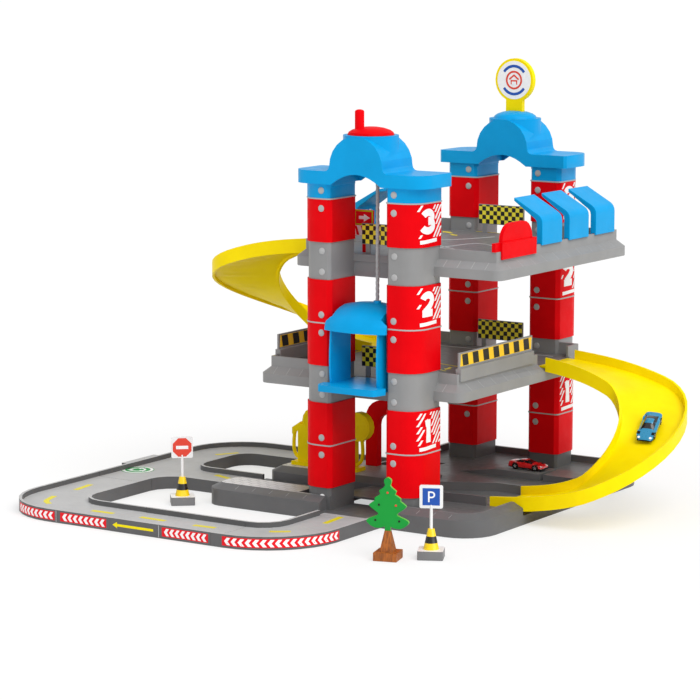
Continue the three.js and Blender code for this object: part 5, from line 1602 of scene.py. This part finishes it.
    def lamps(self) -> None:
        """Two pale head lamps on the nose and two dark tail lamps, as low domes."""
        lamps = ((self.head_at, (-1, 0, 0.25), self.head_lamp),
                 (self.tail_at, (0, 0, 1), self.tail_lamp))
        shapes = [turned(self.spot(x, y, z, (0, -1, 0), up), dome, 14).painted(kind)
                  for kind, ((x, z), up, dome) in enumerate(lamps)
                  for y in (-self.lamp_y, self.lamp_y)]
        finished(f"{self.colour}_car_lamps", shapes, [PRINT_WHITE, PRINT_CORAL],
                 body=f"{self.colour}_car")

    def hubs(self, end: str, way: int) -> None:
        """A five-spoked hub in the middle of each wheel.

        Args:
            end: front or rear.
            way: 1 for the front axle, -1 for the rear.
        """
        x, y, z = self.wheel
        spoke = straight((0.4, 0.0), (2.9, 0.0), 3)
        shapes = []
        for side in (-1, 1):
            spot = self.spot(way * x, side * y, z, (-side, 0, 0), (0, 0, 1))
            shapes.append(turned(spot, self.hub, 20).painted(0))
            shapes += [stroke(spot, rotated(spoke, 72 * k + 90), 0.9, *INK, 1).painted(1)
                       for k in range(5)]
        finished(f"{self.colour}_car_{end}_hubs", shapes, [BLACK, SCREW],
                 body=f"{self.colour}_car_{end}_wheels")


# -------------------------------------------------------------------- studio


@dataclass
class Studio:
    """The pale floor, the soft light and the camera."""

    camera_place: Triple = (2.3034, -3.7711, 0.9077)
    camera_turn: Triple = (81.294, 0.0, 33.352)
    lens: float = 146.0
    film: float = 36.0
    sky: float = 0.74
    sun: float = 1.9
    sun_from: Triple = (0.72, -0.28, 0.95)
    sun_width: float = 50.0
    paper: float = 0.88
    glow: float = 0.55
    floor_reach: float = 30.0
    floor_z: float = -0.0004

    def build(self) -> None:
        """Sets all of it up."""
        bpy.context.scene.view_settings.view_transform = "Standard"
        self.world()
        self.lamp()
        self.floor()
        camera = bpy.data.cameras.new("photo_camera")
        camera.lens, camera.sensor_width = self.lens, self.film
        camera.clip_start, camera.clip_end = 0.1, 60.0
        turn = Euler([math.radians(a) for a in self.camera_turn])
        bpy.context.scene.camera = self.holder(camera, turn)
        bpy.context.scene.camera.location = self.camera_place

    def holder(self, data: bpy.types.ID, turn: Euler) -> bpy.types.Object:
        """The object that holds a camera or a lamp, turned its way."""
        holder = bpy.data.objects.new(data.name, data)
        holder.rotation_euler = turn
        bpy.context.collection.objects.link(holder)
        return holder

    def world(self) -> None:
        """Even soft light, and plain white where the camera sees past the object."""
        world = bpy.data.worlds.new("studio")
        bpy.context.scene.world = world
        nodes = Nodes(world)
        white = (1, 1, 1, 1)
        light = nodes.add("Background", {"Color": white, "Strength": self.sky})
        paper = nodes.add("Background", {"Color": white})
        nodes.shader_mix(nodes.add("LightPath").outputs["Is Camera Ray"],
                         light.outputs["Background"], paper.outputs["Background"], "OutputWorld")

    def lamp(self) -> None:
        """One wide soft sun from above, a little to the front and the right."""
        lamp = bpy.data.lights.new("soft_sun", "SUN")
        lamp.energy, lamp.angle = self.sun, math.radians(self.sun_width)
        self.holder(lamp, Vector(self.sun_from).to_track_quat("Z", "Y").to_euler())

    def floor(self) -> None:
        """A wide pale floor that keeps the toy's shadow and glows white to the camera."""
        mesh = bpy.data.meshes.new("studio_floor")
        reach = self.floor_reach
        corners = [(x, y, self.floor_z) for x, y in rectangle(-reach, -reach, reach, reach)]
        mesh.from_pydata(corners, [], [(0, 1, 2, 3)])
        ground = bpy.data.objects.new("studio_floor", mesh)
        bpy.context.collection.objects.link(ground)
        material = bpy.data.materials.new("studio_floor_paper")
        nodes = Nodes(material)
        paper = nodes.add("BsdfDiffuse", {"Color": (self.paper, self.paper, self.paper, 1)})
        glow = nodes.add("Emission", {"Color": (1, 1, 1, 1)})
        seen = nodes.maths("MULTIPLY", nodes.add("LightPath").outputs["Is Camera Ray"], self.glow)
        nodes.shader_mix(seen, paper.outputs["BSDF"], glow.outputs["Emission"], "OutputMaterial")
        mesh.materials.append(material)


def deck_two() -> Deck:
    """The middle deck, which reaches further to the left."""
    return Deck("deck_level_2", 211.0, Side.LEFT,
                lines=(((-2, -11), (20, -17), (39, -22)), ((-178, 10), (-177, 60), (-176, 110)),
                       ((30, -63), (37, -66), (43, -68))),
                arrows=((34.0, -46.0, -78.0, 26.0), (-150.0, 40.0, 90.0, 30.0)),
                ridges=(((-110, 150), (0, 152), (110, 150)),))


def deck_three() -> Deck:
    """The top deck, which reaches further to the right."""
    return Deck("deck_level_3", 399.0, Side.RIGHT,
                lines=(((-116, 186), (-50, 182), (6, 178)),),
                arrows=((-86.0, 146.0, 150.0, 30.0), (-56.0, 118.0, -30.0, 22.0)),
                ridges=(((-36, 46), (-15, 68), (13, 129)),
                        ((18, -46), (38, 34), (101, -5), (123, -43)), ((7, -27), (60, -60))))


def main() -> None:
    """Builds the studio and every sub-assembly in turn."""
    logging.basicConfig(level=logging.INFO, format="%(name)s %(message)s")
    red = Car("red", (96.0, 102.0, 34.4), ((1, 0, 0), (0, 1, 0), (0, 0, 1)), RED_PAINT,
              Slot.RED_PAINT)
    blue = Car("blue", (344.361, 35.309, 132.016),
               ((0.16453, -0.86496, -0.47410), (0.97628, 0.21137, -0.04683),
                (0.14072, -0.45515, 0.87922)), BLUE_PAINT, Slot.BLUE_PAINT)
    for part in (Studio(), Ground(), Columns(), deck_two(), deck_three(), Ramps(), Arches(), Lift(),
                 Fittings(), Station(), LoosePieces(), red, blue):
        LOG.info("building %s", type(part).__name__)
        part.build()


if __name__ == "__main__":
    main()
